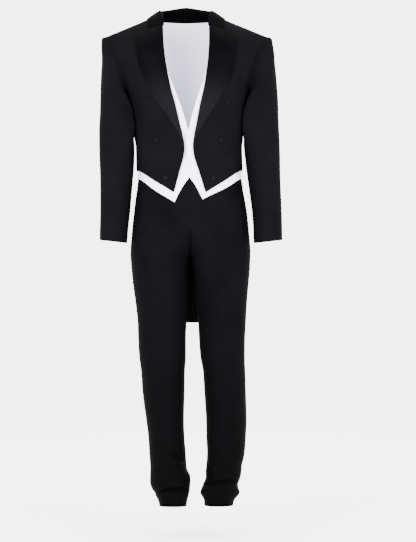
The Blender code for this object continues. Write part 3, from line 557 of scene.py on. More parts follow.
def twill(name, dark, light, rough, pitch=0.0011, fade=None):
    """Fine worsted wool: diagonal twill lines and a soft nap. Where fade gives two heights, painted
    shade darkens the colour from the upper height down to the lower.
    """
    made, shader, spot, across, along = cloth_material(name)
    patchy = spot.noise(9.0, 4.0, 0.55)
    slub = spot.noise(900.0, 2.0)
    diagonal = (across + along * 0.7).wave(pitch)
    cross = (across * 0.5 - along).wave(pitch * 0.55)
    grain = diagonal * 0.5 + cross * 0.18 + slub * 0.9
    shade = (patchy * 1.3 - 0.25 + grain * 0.1).clamp()
    # Painted shade: where fade is given, the colour darkens towards the floor.
    if fade:
        shade = shade * ((height_of(spot) - fade[0]) * (1 / (fade[1] - fade[0]))).clamp()
    color = shade.tint(dark, light)
    roughness = (patchy - 0.5) * 0.14 + (slub - 0.5) * 0.1 + rough
    return finish_cloth(made, shader, color, roughness, grain, 0.22, 0.00025, 0.01)


COAT_CLOTH = twill("coat_wool", (0.0013, 0.0011, 0.0015), (0.0028, 0.0025, 0.0034), 0.88)


def lining(name, dark, light):
    """Plain lining: a close smooth weave with faint lengthwise streaks."""
    made, shader, spot, across, along = cloth_material(name)
    streak = spot.noise(60.0, 3.0)
    thread = across.wave(0.0006)
    color = (streak * 1.2 - 0.1).clamp().tint(dark, light)
    roughness = (streak - 0.5) * 0.16 + 0.42
    relief = thread * 0.3 + streak
    return finish_cloth(made, shader, color, roughness, relief, 0.1, 0.0003, 0.03)


COAT_LINING = lining("coat_lining", (0.0004, 0.0004, 0.0005), (0.001, 0.001, 0.0012))
COAT_FABRIC = (COAT_CLOTH, COAT_LINING, "coat_wool")

# Steps along each seam, the same on both panels that meet there, and how they crowd at its end
SIDE_STEPS = 64
ARM_FRONT_STEPS = 48
UNDERARM_STEPS = 30
ARM_BACK_STEPS = 42
SHOULDER_STEPS = 44
NECK_STEPS = 30
FRONT_NECK_STEPS = 20
TAIL_STEPS = 56
ARM_CROWD = 1.35
NECK_CROWD = 1.5
FRONT_NECK_CROWD = 2.0

# Front edge and roll line up to the neck, and the cutaway hem: X and height
COAT_EDGE = [
    (0.047, 1.024), (0.0278, 1.089), (0.0142, 1.137), (0.012, 1.161), (0.015, 1.185),
    (0.0255, 1.233), (0.0356, 1.281), (0.0477, 1.329),
]
COAT_ROLL = [(0.0477, 1.329), (0.0566, 1.377), (0.0635, 1.425), (0.068, 1.485), (0.069, 1.524)]
COAT_HEM = [(0.047, 1.024), (0.063, 1.034), (0.1035, 1.059), (0.1395, 1.083)]
# Ends of the shoulder seam from the centre, and the height of the neck behind
NECK_POINT = 0.0765
SHOULDER_POINT = 0.232
BACK_NECK_HEIGHT = 1.576
# Seams as angle and height
SIDE_SEAM = [(-9.0, 1.094), (-10.0, 1.17), (-10.0, 1.26), (-9.0, 1.327)]
ARM_FRONT = [(-9.0, 1.327), (-18.0, 1.336), (-24.5, 1.371), (-26.0, 1.415), (-23.0, 1.452)]

front_neck = flat_run(
    [on_front(*COAT_ROLL[-1], COAT_GROW), on_ridge(NECK_POINT, -1)], FRONT_NECK_STEPS, FRONT_NECK_CROWD
)
coat_edge = joined(
    front_run(COAT_EDGE, COAT_GROW, SIDE_STEPS),
    front_run(COAT_ROLL, COAT_GROW, ARM_FRONT_STEPS - FRONT_NECK_STEPS),
    front_neck,
)
side_seam = flat_run(SIDE_SEAM, SIDE_STEPS)
arm_front = flat_run(ARM_FRONT + [on_ridge(SHOULDER_POINT, -1)], ARM_FRONT_STEPS, ARM_CROWD)
coat_hem = np.concatenate([front_run(COAT_HEM, COAT_GROW, SHOULDER_STEPS - 1), side_seam[:1]])
front_shoulder = ridge_run(NECK_POINT, SHOULDER_POINT, -1, SHOULDER_STEPS)

# Soft folds of the fronts, as X and height at each end, width, and height of the fold
FRONT_FOLDS = {"L": [
    (0.15, 1.33, 0.06, 1.2, 0.016, 0.0016),
    (0.165, 1.29, 0.09, 1.16, 0.014, -0.0014),
    (0.14, 1.14, 0.04, 1.15, 0.01, -0.0012),
    (0.12, 1.165, 0.035, 1.178, 0.009, 0.0011),
    (0.19, 1.42, 0.15, 1.33, 0.014, -0.002),
    (0.205, 1.455, 0.172, 1.35, 0.01, 0.0016),
    (0.09, 1.11, 0.065, 1.05, 0.012, 0.001),
], "R": [
    (-0.15, 1.325, -0.07, 1.215, 0.017, 0.0015),
    (-0.16, 1.27, -0.08, 1.155, 0.013, -0.0015),
    (-0.145, 1.15, -0.045, 1.143, 0.011, -0.0012),
    (-0.192, 1.425, -0.148, 1.325, 0.013, -0.0021),
    (-0.207, 1.45, -0.176, 1.35, 0.01, 0.0015),
    (-0.1, 1.12, -0.06, 1.045, 0.012, 0.0011),
]}

flat = patch(coat_edge, joined(side_seam, arm_front), coat_hem, front_shoulder)
forepart, out = worn(flat, COAT_GROW)
sew_pair("forepart", let_out(forepart, "rt"), out, FRONT_FOLDS, "lrt", COAT_FABRIC,
         "waistcoat_front_*")

# Side bodies, backs and tails: the side bodies run under the arms to the curved back seams. Each
# back is cut in one with its narrow tail, and a skirt hangs from the waist seam beside it.
ARM_BACK = [(36.0, 1.385), (33.0, 1.43), (27.0, 1.46)]
UNDERARM = [(-9.0, 1.327), (6.0, 1.324), (24.0, 1.345), (36.0, 1.385)]
BACK_SEAM = [(72.0, 1.068), (71.0, 1.14), (64.0, 1.24), (50.0, 1.33), (36.0, 1.385)]
SKIRT_SEAM = [(14.0, 1.09), (40.0, 1.078), (72.0, 1.068)]
TAIL_SEAM = [(77.0, 0.634), (76.0, 0.8), (73.0, 0.96), (72.0, 1.068)]
SKIRT_EDGE = [(53.0, 0.634), (51.0, 0.74), (42.0, 0.86), (27.0, 0.98), (14.0, 1.09)]

# Folds of the side bodies, backs and tails, as X and height at each end, width and height
SIDE_FOLDS = [
    (0.15, 1.15, 0.11, 1.13, 0.01, -0.0014),
    (0.165, 1.19, 0.12, 1.175, 0.011, 0.0012),
    (0.18, 1.3, 0.14, 1.2, 0.013, -0.0014),
    (0.12, 1.33, 0.125, 1.23, 0.012, -0.0012),
]
BACK_FOLDS = [
    (0.19, 1.42, 0.11, 1.25, 0.018, -0.0018),
    (0.205, 1.45, 0.14, 1.3, 0.014, 0.0015),
    (0.06, 1.18, 0.01, 1.16, 0.01, 0.0013),
    (0.058, 1.15, 0.006, 1.132, 0.009, -0.0014),
    (0.15, 1.48, 0.05, 1.53, 0.016, -0.0012),
]
TAIL_FOLDS = [
    (0.04, 0.98, 0.046, 0.7, 0.01, 0.0022),
    (0.062, 0.96, 0.078, 0.68, 0.014, -0.0026),
    (0.096, 0.9, 0.104, 0.65, 0.012, 0.0024),
    (0.12, 1.04, 0.09, 0.96, 0.012, -0.0014),
]

# How much higher one end of each fold lies on the right
RIGHT_HIGHER = 0.008
# Heights along the centre back, and the steps of the waist seam in front of the skirt
TAIL_FOOT = 0.634
BACK_WAIST = 1.068
BACK_YOKE = 1.4
SIDE_SHARE = 6

arm_back = flat_run(ARM_BACK + [on_ridge(SHOULDER_POINT, 1)], ARM_BACK_STEPS, ARM_CROWD)
underarm = flat_run(UNDERARM, UNDERARM_STEPS)
back_seam = flat_run(BACK_SEAM, SIDE_STEPS)
tail_seam = flat_run(TAIL_SEAM, TAIL_STEPS)
skirt_top = flat_run(SKIRT_SEAM, UNDERARM_STEPS - SIDE_SHARE)
waist = joined(flat_run([side_seam[0], skirt_top[0]], SIDE_SHARE), skirt_top)
back_neck = flat_run([(90.0, BACK_NECK_HEIGHT), on_ridge(NECK_POINT, 1)], NECK_STEPS, NECK_CROWD)[::-1]
tail_rise = np.linspace(TAIL_FOOT, BACK_WAIST, TAIL_STEPS + 1)
back_rise = np.linspace(BACK_WAIST, BACK_YOKE, SIDE_STEPS + 1)
neck_rise = BACK_YOKE + (BACK_NECK_HEIGHT - BACK_YOKE) * spread(ARM_BACK_STEPS, ARM_CROWD)
centre_back = centre_line(joined(tail_rise, back_rise, neck_rise))
tail_hem = flat_run([(77.0, TAIL_FOOT), (90.0, TAIL_FOOT)], SHOULDER_STEPS + NECK_STEPS)
back_top = joined(ridge_run(SHOULDER_POINT, NECK_POINT, 1, SHOULDER_STEPS), back_neck)
skirt_hem = flat_run([(53.0, TAIL_FOOT), (77.0, TAIL_FOOT)], UNDERARM_STEPS - SIDE_SHARE)
skirt_edge = flat_run(SKIRT_EDGE, TAIL_STEPS)


def both_sides(folds, higher=0.0):
    """Folds of the left, and the same on the right with one end this much higher."""
    return {"L": folds, "R": [(-a, b + higher, -c, d, w, h) for a, b, c, d, w, h in folds]}


# Name, its four edges, the edges let out to a seam, folds and what it lies on
BACK_PANELS = [
    ("side_body", side_seam, back_seam, waist, underarm, "lrb", SIDE_FOLDS, "waistcoat_back"),
    ("back", joined(tail_seam, back_seam, arm_back), centre_back, tail_hem, back_top, "lrt",
     BACK_FOLDS + TAIL_FOLDS[:1], "waistcoat_back"),
    ("skirt", skirt_edge, tail_seam, skirt_hem, skirt_top, "rt", TAIL_FOLDS, "trouser_back_*"),
]
for name, left, right, bottom, top, seams, folds, under in BACK_PANELS:
    panel, out = worn(patch(left, right, bottom, top), COAT_GROW)
    folds = both_sides(folds, RIGHT_HIGHER)
    sew_pair(name, let_out(panel, seams), out, folds, "lrbt", COAT_FABRIC, under)

# The lapels: wide peaked lapels faced with black satin, rolled over from the front edge down to
# the waist, their points reaching almost to the shoulder.
# Wall and gap under it, lift off the forepart, height of the roll, pressed edge and thickness
LAPEL_WALL = 0.0022
LAPEL_GAP = 0.0008
LAPEL_LIFT = 0.0004
LAPEL_ROLL = 0.005
LAPEL_PRESS = (0.001, 0.003)
LAPEL_THICK = 0.0009
LAPEL_STEPS = 96
LAPEL_ACROSS = 28
# Outer edge, roll line, gorge and foot as X and height
LAPEL_EDGE = [
    (0.02, 1.181), (0.046, 1.226), (0.075, 1.27), (0.1, 1.308), (0.12, 1.342),
    (0.136, 1.38), (0.15, 1.441), (0.16, 1.5),
]
LAPEL_LINE = [(0.0136, 1.174)] + COAT_EDGE[4:] + COAT_ROLL[1:4] + [(0.069, 1.5235)]
GORGE = [(0.069, 1.5235), (0.16, 1.5)]
LAPEL_FOOT = [(0.0136, 1.174), (0.02, 1.181)]
LAPEL_FOLDS = [
    (0.035, 1.24, 0.085, 1.42, 0.018, 0.001),
    (0.06, 1.26, 0.12, 1.44, 0.014, -0.0009),
    (0.072, 1.5, 0.14, 1.455, 0.016, 0.0008),
]


def satin(name, dark, light, shine, low=-0.23, high=-0.1):
    """Silk satin: smooth floats with a broad soft shine, and a painted sheen that makes its colour paler
    lower down, from the height high to the height low.
    """
    made, shader, spot, across, along = cloth_material(name)
    cloudy = spot.noise(14.0, 3.0)
    # Painted sheen: the colour runs from dark at the height high to pale at the height low and below.
    painted_sheen = ((high - height_of(spot)) * (1 / (high - low))).clamp()
    painted_sheen = painted_sheen * painted_sheen * (3.0 - painted_sheen * 2.0)
    floats = across.wave(0.00045)
    steps = (across * 0.35 + along).wave(0.0016)
    color = (painted_sheen + (cloudy - 0.5) * 0.16 + floats * 0.03).clamp().tint(dark, light)
    roughness = (cloudy - 0.5) * 0.1 + 0.4
    relief = floats * 0.4 + steps * 0.2 + cloudy
    shader.inputs["Anisotropic"].default_value = 0.35
    return finish_cloth(made, shader, color, roughness, relief, 0.1, 0.0003, shine)


# The lapel satin's colour is paler on the lower lapel: painted sheen.
SATIN = satin("lapel_satin", (0.0005, 0.0005, 0.0007), (0.0029, 0.0027, 0.0039), 0.009)

lapel_grow = COAT_GROW + LAPEL_GAP + LAPEL_WALL
flat = patch(
    front_run(LAPEL_LINE, lapel_grow, LAPEL_STEPS),
    front_run(LAPEL_EDGE, lapel_grow, LAPEL_STEPS),
    front_run(LAPEL_FOOT, lapel_grow, LAPEL_ACROSS),
    front_run(GORGE, lapel_grow, LAPEL_ACROSS),
)
lapel, out = worn(flat, lapel_grow)
v = np.linspace(0, 1, LAPEL_STEPS + 1)[:, None]
u = np.linspace(0, 1, LAPEL_ACROSS + 1)[None, :]
lift = LAPEL_LIFT + LAPEL_ROLL * np.sin(np.pi * u) ** 0.8 * np.sin(np.pi * v) ** 1.6
lapel = let_out(lapel + out * lift[..., None], "t")
sew_pair("lapel", lapel, out, both_sides(LAPEL_FOLDS), "lr", (SATIN, COAT_CLOTH, "satin"),
         "forepart_*", LAPEL_PRESS, thick=LAPEL_THICK, held="folded")

# The collar: one strip of the coat's wool folded over the neck edge, a stand inside and a fall
# outside that ends at the gorge seams of the lapels.
# The fall's edge: X and height in front, X on the shoulder, angle and height behind
FALL_END = [(0.113, 1.5122), (0.1135, 1.52)]
FALL_SHOULDER = 0.114
FALL_BACK = [(90.0, 1.533), (75.0, 1.531)]
STAND_SHARE = 0.5
# Gap inside the fold, wall, and how far the fall's edge and the fold's front end stand off
COLLAR_GAP = 0.0028
COLLAR_WALL = 0.002
EDGE_OFF = 0.003
FRONT_FOLD_OFF = 0.0034
FALL_ROWS = 15
STAND_ROWS = 9
COLLAR_THICK = 0.0018
COLLAR_PRESS = (0.0009, 0.003)
FOLD_TURNS = 12
# How far back from its front end the fold opens to its full height
OPENS_OVER = 0.045
COLLAR_CLOTH = twill("collar_wool", (0.0005, 0.0005, 0.0007), (0.0012, 0.0012, 0.0015), 0.92)

shoulder = on_ridge(FALL_SHOULDER, -1)
fall = np.concatenate([on_front(*np.array(FALL_END).T, COAT_GROW), shoulder[None]])
fall = flat_run(fall, FRONT_NECK_STEPS, FRONT_NECK_CROWD)
shoulder = on_ridge(FALL_SHOULDER, 1)
back_fall = flat_run([*FALL_BACK, shoulder], NECK_STEPS, NECK_CROWD)[::-1]
neck = np.concatenate([front_neck[:-1], back_neck])
fall = np.concatenate([fall[:-1], back_fall])
across = np.linspace(1, 0, FALL_ROWS)[:, None, None]
cloth, out = worn(neck + across * (fall - neck), COAT_GROW)
away = cloth[-1] - cloth[-2]
away = unit(away - (away * out[-1]).sum(-1, keepdims=True) * out[-1])
open_out = ease(0.0, OPENS_OVER, lengths(cloth[-1]))
fold_off = FRONT_FOLD_OFF + (COLLAR_GAP + COLLAR_WALL - FRONT_FOLD_OFF) * open_out
stand_off = EDGE_OFF + (fold_off[:, None] - EDGE_OFF) * ease(0.0, 0.8, 1 - across)
middle = cloth[-1] - out[-1] * COLLAR_WALL / 2
turns = np.radians(np.linspace(0, 180, FOLD_TURNS + 2)[1:-1])
fold_out = np.array([out[-1] * math.cos(t) + away * math.sin(t) for t in turns])
fold = middle + fold_out * (COLLAR_WALL / 2 + fold_off)[None, :, None]
down = np.linspace(0, STAND_SHARE, STAND_ROWS)[:, None, None]
stand, stand_out = worn(neck + down * (fall - neck), COAT_GROW)
inside = stand - stand_out * (fold_off + COLLAR_WALL)[None, :, None]
grid = np.concatenate([cloth + out * stand_off, fold, inside])
out = np.concatenate([out, fold_out, -stand_out])
grid, out = whole(grid), whole(out)
grid = turned_edge(grid, out, "lrb", *COLLAR_PRESS)
sew("collar", grid, out, (COLLAR_CLOTH, COLLAR_CLOTH, "coat_wool"), ["back_L", "back_R"],
    thick=COLLAR_THICK, held="folded")

# The sleeves: a top and an under sleeve of the coat's wool, joined down the front and the back of
# the arm, eased into the armhole at the top and turned up at a plain hem.

# Share of the length; outer X and height, inner X and height, front Y, back Y
SLEEVE = [
    (0.0, 0.232, 1.4965, 0.19, 1.325, -0.07, 0.083),
    (0.03, 0.249, 1.4895, 0.1888, 1.316, -0.074, 0.084),
    (0.07, 0.253, 1.464, 0.1848, 1.302, -0.076, 0.085),
    (0.12, 0.2548, 1.43, 0.1785, 1.28, -0.076, 0.085),
    (0.2, 0.259, 1.38, 0.1712, 1.246, -0.074, 0.084),
    (0.28, 0.2622, 1.325, 0.1655, 1.206, -0.072, 0.082),
    (0.37, 0.265, 1.265, 0.1636, 1.16, -0.07, 0.078),
    (0.46, 0.269, 1.205, 0.1655, 1.115, -0.068, 0.074),
    (0.55, 0.2696, 1.143, 0.1698, 1.069, -0.07, 0.069),
    (0.65, 0.2684, 1.077, 0.1752, 1.018, -0.076, 0.06),
    (0.76, 0.269, 1.009, 0.1805, 0.967, -0.084, 0.048),
    (0.88, 0.2702, 0.941, 0.1855, 0.9175, -0.093, 0.036),
    (1.0, 0.2714, 0.8845, 0.1885, 0.875, -0.099, 0.027),
]
# How much wider the left sleeve stands out: share of the length, outside, inside
SPREAD_OUT = [
    (0.0, 0.0, 0.0), (0.05, 0.003, 0.0), (0.12, 0.008, 0.0), (0.3, 0.0078, 0.0),
    (0.46, 0.003, 0.003), (0.7, 0.0036, 0.004), (1.0, 0.0036, 0.0),
]
# How far the front of the sleeve's inner side lies over the coat's front: share, metres
ARM_PRESS = [
    (0.0, 0.0), (0.06, 0.0), (0.14, 0.018), (0.22, 0.025), (0.3, 0.023), (0.36, 0.014),
    (0.46, 0.005), (0.6, 0.0), (1.0, 0.0),
]
SLEEVE_RINGS = 180
RING_CROWD = 1.12
# Seam lines as a share of the way round, and the eased head as a share of the length
BACK_LINE = 0.36
FRONT_LINE = 0.68
HEAD_SHARE = 0.16
ARMHOLE_TUCK = 0.0016
ARMHOLE_SINK = 0.001
# The puff at the head and the groove of the hem: depth in metres, share where it lies, width
PUFF, PUFF_AT, PUFF_WIDE = 0.001, 0.03, 0.022
CUFF_GROOVE, CUFF_HEM, CUFF_WIDE = 0.0007, 0.979, 0.0045
# 1 over the highest value of the curve that the press follows round the arm
PRESS_PEAK = 3.08
ARM_SEAM_PRESS = (0.0002, 0.003)
HEM_PRESS = (0.0007, 0.003)
# Degrees that count as much as the sleeve's length where a fold is measured
FOLD_DEGREES = 1000
# Sleeve folds: turn and share at each end, width (in share), height in metres
ARM_FOLDS = {"L": [
    (-150, 0.475, -40, 0.515, 0.016, -0.0028),
    (-160, 0.53, -60, 0.545, 0.013, -0.0032),
    (-140, 0.505, -50, 0.528, 0.01, 0.002),
    (-150, 0.59, -70, 0.575, 0.013, -0.0024),
    (60, 0.52, 150, 0.5, 0.02, 0.0018),
    (-60, 0.06, -95, 0.26, 0.02, -0.0022),
    (-30, 0.05, -60, 0.24, 0.016, 0.0014),
    (-120, 0.2, -70, 0.4, 0.022, 0.0016),
    (40, 0.08, 90, 0.26, 0.02, -0.0018),
    (-100, 0.7, -60, 0.8, 0.018, -0.0013),
    (-30, 0.8, -75, 0.93, 0.016, -0.0012),
], "R": [
    (-145, 0.49, -35, 0.505, 0.015, -0.003),
    (-155, 0.545, -55, 0.56, 0.012, -0.0028),
    (-150, 0.518, -60, 0.53, 0.01, 0.002),
    (-140, 0.61, -80, 0.59, 0.014, -0.002),
    (60, 0.54, 150, 0.52, 0.02, 0.0018),
    (-65, 0.055, -100, 0.24, 0.019, -0.0024),
    (-35, 0.05, -55, 0.22, 0.015, 0.0013),
    (-110, 0.22, -80, 0.41, 0.022, 0.0017),
    (45, 0.07, 95, 0.24, 0.02, -0.0018),
    (-95, 0.72, -50, 0.79, 0.018, -0.0014),
    (-40, 0.83, -85, 0.92, 0.016, -0.0011),
]}


def grid_out(grid):
    """Unit normals of rings of points, pointing out."""
    around = np.roll(grid, -1, 1) - np.roll(grid, 1, 1)
    return unit(np.cross(around, np.gradient(grid, axis=0)))


armhole, out = worn(joined(arm_back[::-1], underarm[::-1], arm_front), COAT_GROW)
away = unit(np.cross(out, np.gradient(armhole, axis=0)))
away *= np.sign(((armhole.mean(axis=0) - armhole) * away).sum(1, keepdims=True))
armhole = armhole - away * ARMHOLE_TUCK - out * ARMHOLE_SINK
length = lengths(armhole)
turn = (TURN * length / length[-1])[:-1]
steps = len(turn)
back_line = round(steps * BACK_LINE)
front_line = round(steps * FRONT_LINE)
shares = ((1 - spread(SLEEVE_RINGS)) ** RING_CROWD)[:, None]
for label in "LR":
    xo, zo, xi, zi, yf, yb = columns(SLEEVE, shares)
    if label == "L":
        more = columns(SPREAD_OUT, shares)
        xo, xi = xo + more[0], xi + more[1]
    c, s = bulge(np.cos(turn)), bulge(np.sin(turn))
    inner_front = PRESS_PEAK * np.clip(-np.cos(turn), 0, 1) * np.clip(-np.sin(turn), 0, 1) ** 3
    pressed = columns(ARM_PRESS, shares)[0] * inner_front
    rings = np.stack(np.broadcast_arrays(
        (xo + xi) / 2 + (xo - xi) / 2 * c - pressed,
        (yf + yb) / 2 + (yb - yf) / 2 * s,
        (zo + zi) / 2 + (zo - zi) / 2 * c,
    ), -1)
    fade = 1 - ease(0.0, HEAD_SHARE, shares)[..., None]
    rings = rings + fade * (armhole[:-1] - rings[-1])
    degrees = (np.degrees(turn) + 180) % 360 - 180
    scale = (FOLD_DEGREES, 1, FOLD_DEGREES, 1, 1, 1)
    folds = [[v / by for v, by in zip(fold, scale)] for fold in ARM_FOLDS[label]]
    relief = crease(*np.broadcast_arrays(degrees / FOLD_DEGREES, shares), folds)
    puff = PUFF * np.exp(-(((shares - PUFF_AT) / PUFF_WIDE) ** 2)) * ease(-0.4, 0.3, np.cos(turn))
    hemmed = -CUFF_GROOVE * np.exp(-(((shares - CUFF_HEM) / CUFF_WIDE) ** 2))
    relief = relief * ease(0.0, 0.05, shares) + puff + hemmed
    rings = rings + grid_out(rings) * relief[..., None]
    out = grid_out(rings)
    top = [k % steps for k in range(front_line, steps + back_line + 1)]
    under = list(range(back_line, front_line + 1))
    for name, chosen in (("top_sleeve", top), ("under_sleeve", under)):
        grid, face = let_out(rings[:, chosen], "lr"), out[:, chosen]
        grid = turned_edge(grid, face, "lr", *ARM_SEAM_PRESS)
        grid = turned_edge(grid, face, "b", *HEM_PRESS)
        grid, face = on_side(label, grid, face)
        sew(f"{name}_{label}", grid, face, COAT_FABRIC, ["forepart_" + label, "back_" + label])

# The waistcoat: white cotton with a raised weave, low fronts cut to two points under the coat and
# lapped left over right, and a full plain back.
# The front's lines as X and height: closing edge, neckline, cut below the edge, and hem
LAP_EDGE = [(-0.0075, 1.08), (-0.0075, 1.196)]
VEE = [
    (0.0012, 1.212), (0.0102, 1.245), (0.0204, 1.278), (0.033, 1.315), (0.064, 1.4),
    (0.086, 1.47), (0.099, 1.52),
]
FRONT_CUT = [(0.0425, 0.9995), (0.0215, 1.04)]
WAISTCOAT_HEM = [(0.0425, 0.9995), (0.0645, 1.012), (0.1065, 1.0355), (0.1395, 1.0595)]
# Side seam and armholes as angle and height
WAISTCOAT_SIDE = [(-4.0, 1.07), (-4.0, 1.18), (-4.0, 1.3)]
WAISTCOAT_ARM_FRONT = [(-4.0, 1.3), (-30.0, 1.318), (-42.0, 1.37), (-44.0, 1.44)]
WAISTCOAT_ARM_BACK = [(-4.0, 1.3), (22.0, 1.32), (40.0, 1.38), (42.0, 1.44)]
# Ends of the shoulder seam from the centre, and the height of the neck behind
WAISTCOAT_NECK = 0.106
WAISTCOAT_SHOULDER = 0.185
WAISTCOAT_BACK_NECK = 1.54
WAISTCOAT_STEPS = 50
WAISTCOAT_NECK_STEPS = 18
LAP_STEPS = 26
VEE_CROWD = 1.2
WAISTCOAT_THICK = 0.0013
WAISTCOAT_PRESS = (0.0006, 0.0022)
# How far the right front sinks under the left, and the X and heights over which that ends
LAP_DROP = 0.0029
LAP_REACH = (0.01, 0.045)
LAP_TOP = (1.225, 1.3)
# How far each front's point hangs to one side and up from an even cut, and where that ends
POINT_SWAY = {"L": (-0.0045, 0.0045), "R": (-0.0035, -0.0035)}
SWAY_ENDS = (1.0, 1.09)
SWAY_SLOPE = 0.3
# Folds as X and height at each end, width and height: where the right front sinks away beside
# the left front's edge, those of that edge, and those of both
UNDERLAP_FOLDS = [
    (0.009, 1.195, 0.0075, 1.118, 0.0075, -0.006),
    (0.016, 1.24, 0.009, 1.185, 0.005, -0.0025),
    (0.02, 1.105, 0.01, 1.135, 0.006, 0.0012),
]
OVERLAP_FOLDS = [
    (0.009, 1.196, -0.003, 1.15, 0.0035, -0.0014),
    (0.01, 1.165, 0.0, 1.128, 0.004, 0.0014),
    (0.012, 1.12, -0.002, 1.092, 0.004, -0.0012),
]
WAISTCOAT_FOLDS = [
    (0.004, 1.17, 0.03, 1.15, 0.006, 0.0008),
    (0.006, 1.128, 0.034, 1.1, 0.007, -0.0009),
    (0.03, 1.23, 0.012, 1.18, 0.007, -0.0007),
    (0.05, 1.045, 0.11, 1.075, 0.007, 0.0006),
    (0.02, 1.07, 0.036, 1.03, 0.006, -0.0006),
]


def stitched(distance, along, inset=0.0042, wide=0.0009, stitch=0.003):
    """How far in the groove of a stitch row a point is, by its distance from the sewn edge."""
    groove = 1.0 - ((distance - inset) * (distance - inset) * (1 / wide**2)).clamp()
    return groove * (along.wave(stitch) * 0.4 + 0.6)


def pique(name, dark, light):
    """White cotton with a fine raised diamond weave and a stitch row inside its front and hem, its
    groove sunk and darkened with painted shade.
    """
    made, shader, spot, across, along = cloth_material(name)
    soft = spot.noise(24.0, 3.0)
    fuzz = spot.noise(1400.0, 2.0)
    ribs = (across + along).wave(0.0024) * (across - along).wave(0.0024)
    diamonds = ribs * ribs
    seam = stitched(across, along) + stitched(along, across)
    # The stitch rows' grooves are darkened in colour as well as sunk in the relief: painted shade in the
    # grooves.
    color = (diamonds * 0.3 + soft * 0.5 + 0.3 - seam * 1.6).clamp().tint(dark, light)
    roughness = (fuzz - 0.5) * 0.1 + 0.74
    relief = diamonds + fuzz * 0.4 - seam * 2.0
    shader.inputs["Subsurface Weight"].default_value = 0.06
    shader.inputs["Subsurface Radius"].default_value = (0.002, 0.002, 0.002)
    return finish_cloth(made, shader, color, roughness, relief, 0.45, 0.0004)


WAISTCOAT_CLOTH = pique("waistcoat_pique", (0.62, 0.6, 0.78), (0.87, 0.84, 1.0))
WAISTCOAT_INSIDE = lining("waistcoat_lining", (0.74, 0.73, 0.86), (0.84, 0.83, 0.97))
FRONT_FABRIC = (WAISTCOAT_CLOTH, WAISTCOAT_INSIDE, "white_cotton")
BACK_FABRIC = (WAISTCOAT_INSIDE, WAISTCOAT_INSIDE, "white_cotton")

side_run = flat_run(WAISTCOAT_SIDE, WAISTCOAT_STEPS)
arm_end = [on_ridge(WAISTCOAT_SHOULDER, -1)]
arm_run = flat_run(WAISTCOAT_ARM_FRONT + arm_end, WAISTCOAT_STEPS, ARM_CROWD)
hem = front_run(WAISTCOAT_HEM, WAISTCOAT_GROW, WAISTCOAT_STEPS - 1)
hem = np.concatenate([hem, side_run[:1]])
shoulder = ridge_run(WAISTCOAT_NECK, WAISTCOAT_SHOULDER, -1, WAISTCOAT_STEPS)
cut = front_run(FRONT_CUT + LAP_EDGE[:1], WAISTCOAT_GROW, LAP_STEPS)
closing = front_run(LAP_EDGE, WAISTCOAT_GROW, LAP_STEPS)
vee_steps = 2 * WAISTCOAT_STEPS - 2 * LAP_STEPS - 1
vee = front_run(LAP_EDGE[1:] + VEE, WAISTCOAT_GROW, vee_steps, VEE_CROWD)
edge = joined(cut, closing, np.concatenate([vee, on_ridge(WAISTCOAT_NECK, -1)[None]]))
front = patch(edge, joined(side_run, arm_run), hem, shoulder)
for label in "LR":
    grid, out = worn(front, WAISTCOAT_GROW)
    grid = let_out(grid, "rt")
    if label == "R":
        near = 1 - ease(*LAP_REACH, grid[..., 0])
        low = 1 - ease(*LAP_TOP, front[..., 1])
        grid = grid - out * (LAP_DROP * near * low)[..., None]
    folds = WAISTCOAT_FOLDS + (OVERLAP_FOLDS if label == "L" else UNDERLAP_FOLDS)
    grid = grid + out * crease(grid[..., 0], grid[..., 2], folds)[..., None]
    grid = turned_edge(grid, out, "lrb", *WAISTCOAT_PRESS)
    grid, out = on_side(label, grid, out)
    off_point = SWAY_SLOPE * (np.abs(grid[..., 0]) - FRONT_CUT[0][0])
    swayed = 1 - ease(*SWAY_ENDS, grid[..., 2] + off_point)
    grid[..., 0] += POINT_SWAY[label][0] * swayed
    grid[..., 2] += POINT_SWAY[label][1] * swayed
    sew("waistcoat_front_" + label, grid, out, FRONT_FABRIC, ["waistband"], WAISTCOAT_THICK,
        front_edge=label.lower())

arm_end = [on_ridge(WAISTCOAT_SHOULDER, 1)]
arm_run = flat_run(WAISTCOAT_ARM_BACK + arm_end, WAISTCOAT_STEPS, ARM_CROWD)
foot, arm = WAISTCOAT_SIDE[0][1], WAISTCOAT_SIDE[-1][1]
rise = np.linspace(foot, arm, WAISTCOAT_STEPS + 1)
upper = arm + (WAISTCOAT_BACK_NECK - arm) * spread(WAISTCOAT_STEPS, ARM_CROWD)
middle = centre_line(joined(rise, upper))
hem = flat_run([WAISTCOAT_SIDE[0], (90.0, foot)], WAISTCOAT_STEPS)
neck_end = [on_ridge(WAISTCOAT_NECK, 1), (90.0, WAISTCOAT_BACK_NECK)]
neck = flat_run(neck_end, WAISTCOAT_NECK_STEPS)
shoulder_steps = WAISTCOAT_STEPS - WAISTCOAT_NECK_STEPS
top = joined(ridge_run(WAISTCOAT_SHOULDER, WAISTCOAT_NECK, 1, shoulder_steps), neck)
grid, out = worn(patch(joined(side_run, arm_run), middle, hem, top), WAISTCOAT_GROW)
grid, out = whole(let_out(grid, "lt")), whole(out)
sew("waistcoat_back", grid, out, BACK_FABRIC, ["waistband"], WAISTCOAT_THICK)

# Buttons: three pairs on the coat covered with its satin, and three down the waistcoat covered
# with its cotton, each a domed shell drawn tight round a flat back.

# X and height of each, then the radius and depth of one
COAT_BUTTONS = [(0.1215, 1.286), (0.0965, 1.18), (0.071, 1.067)]
COAT_BUTTON = (0.0083, 0.0038)
WAISTCOAT_BUTTONS = [1.19, 1.147, 1.105]
WAISTCOAT_BUTTON = (0.0055, 0.0034)
BUTTON_OFF = 0.0003
BUTTON_SIDES = 48
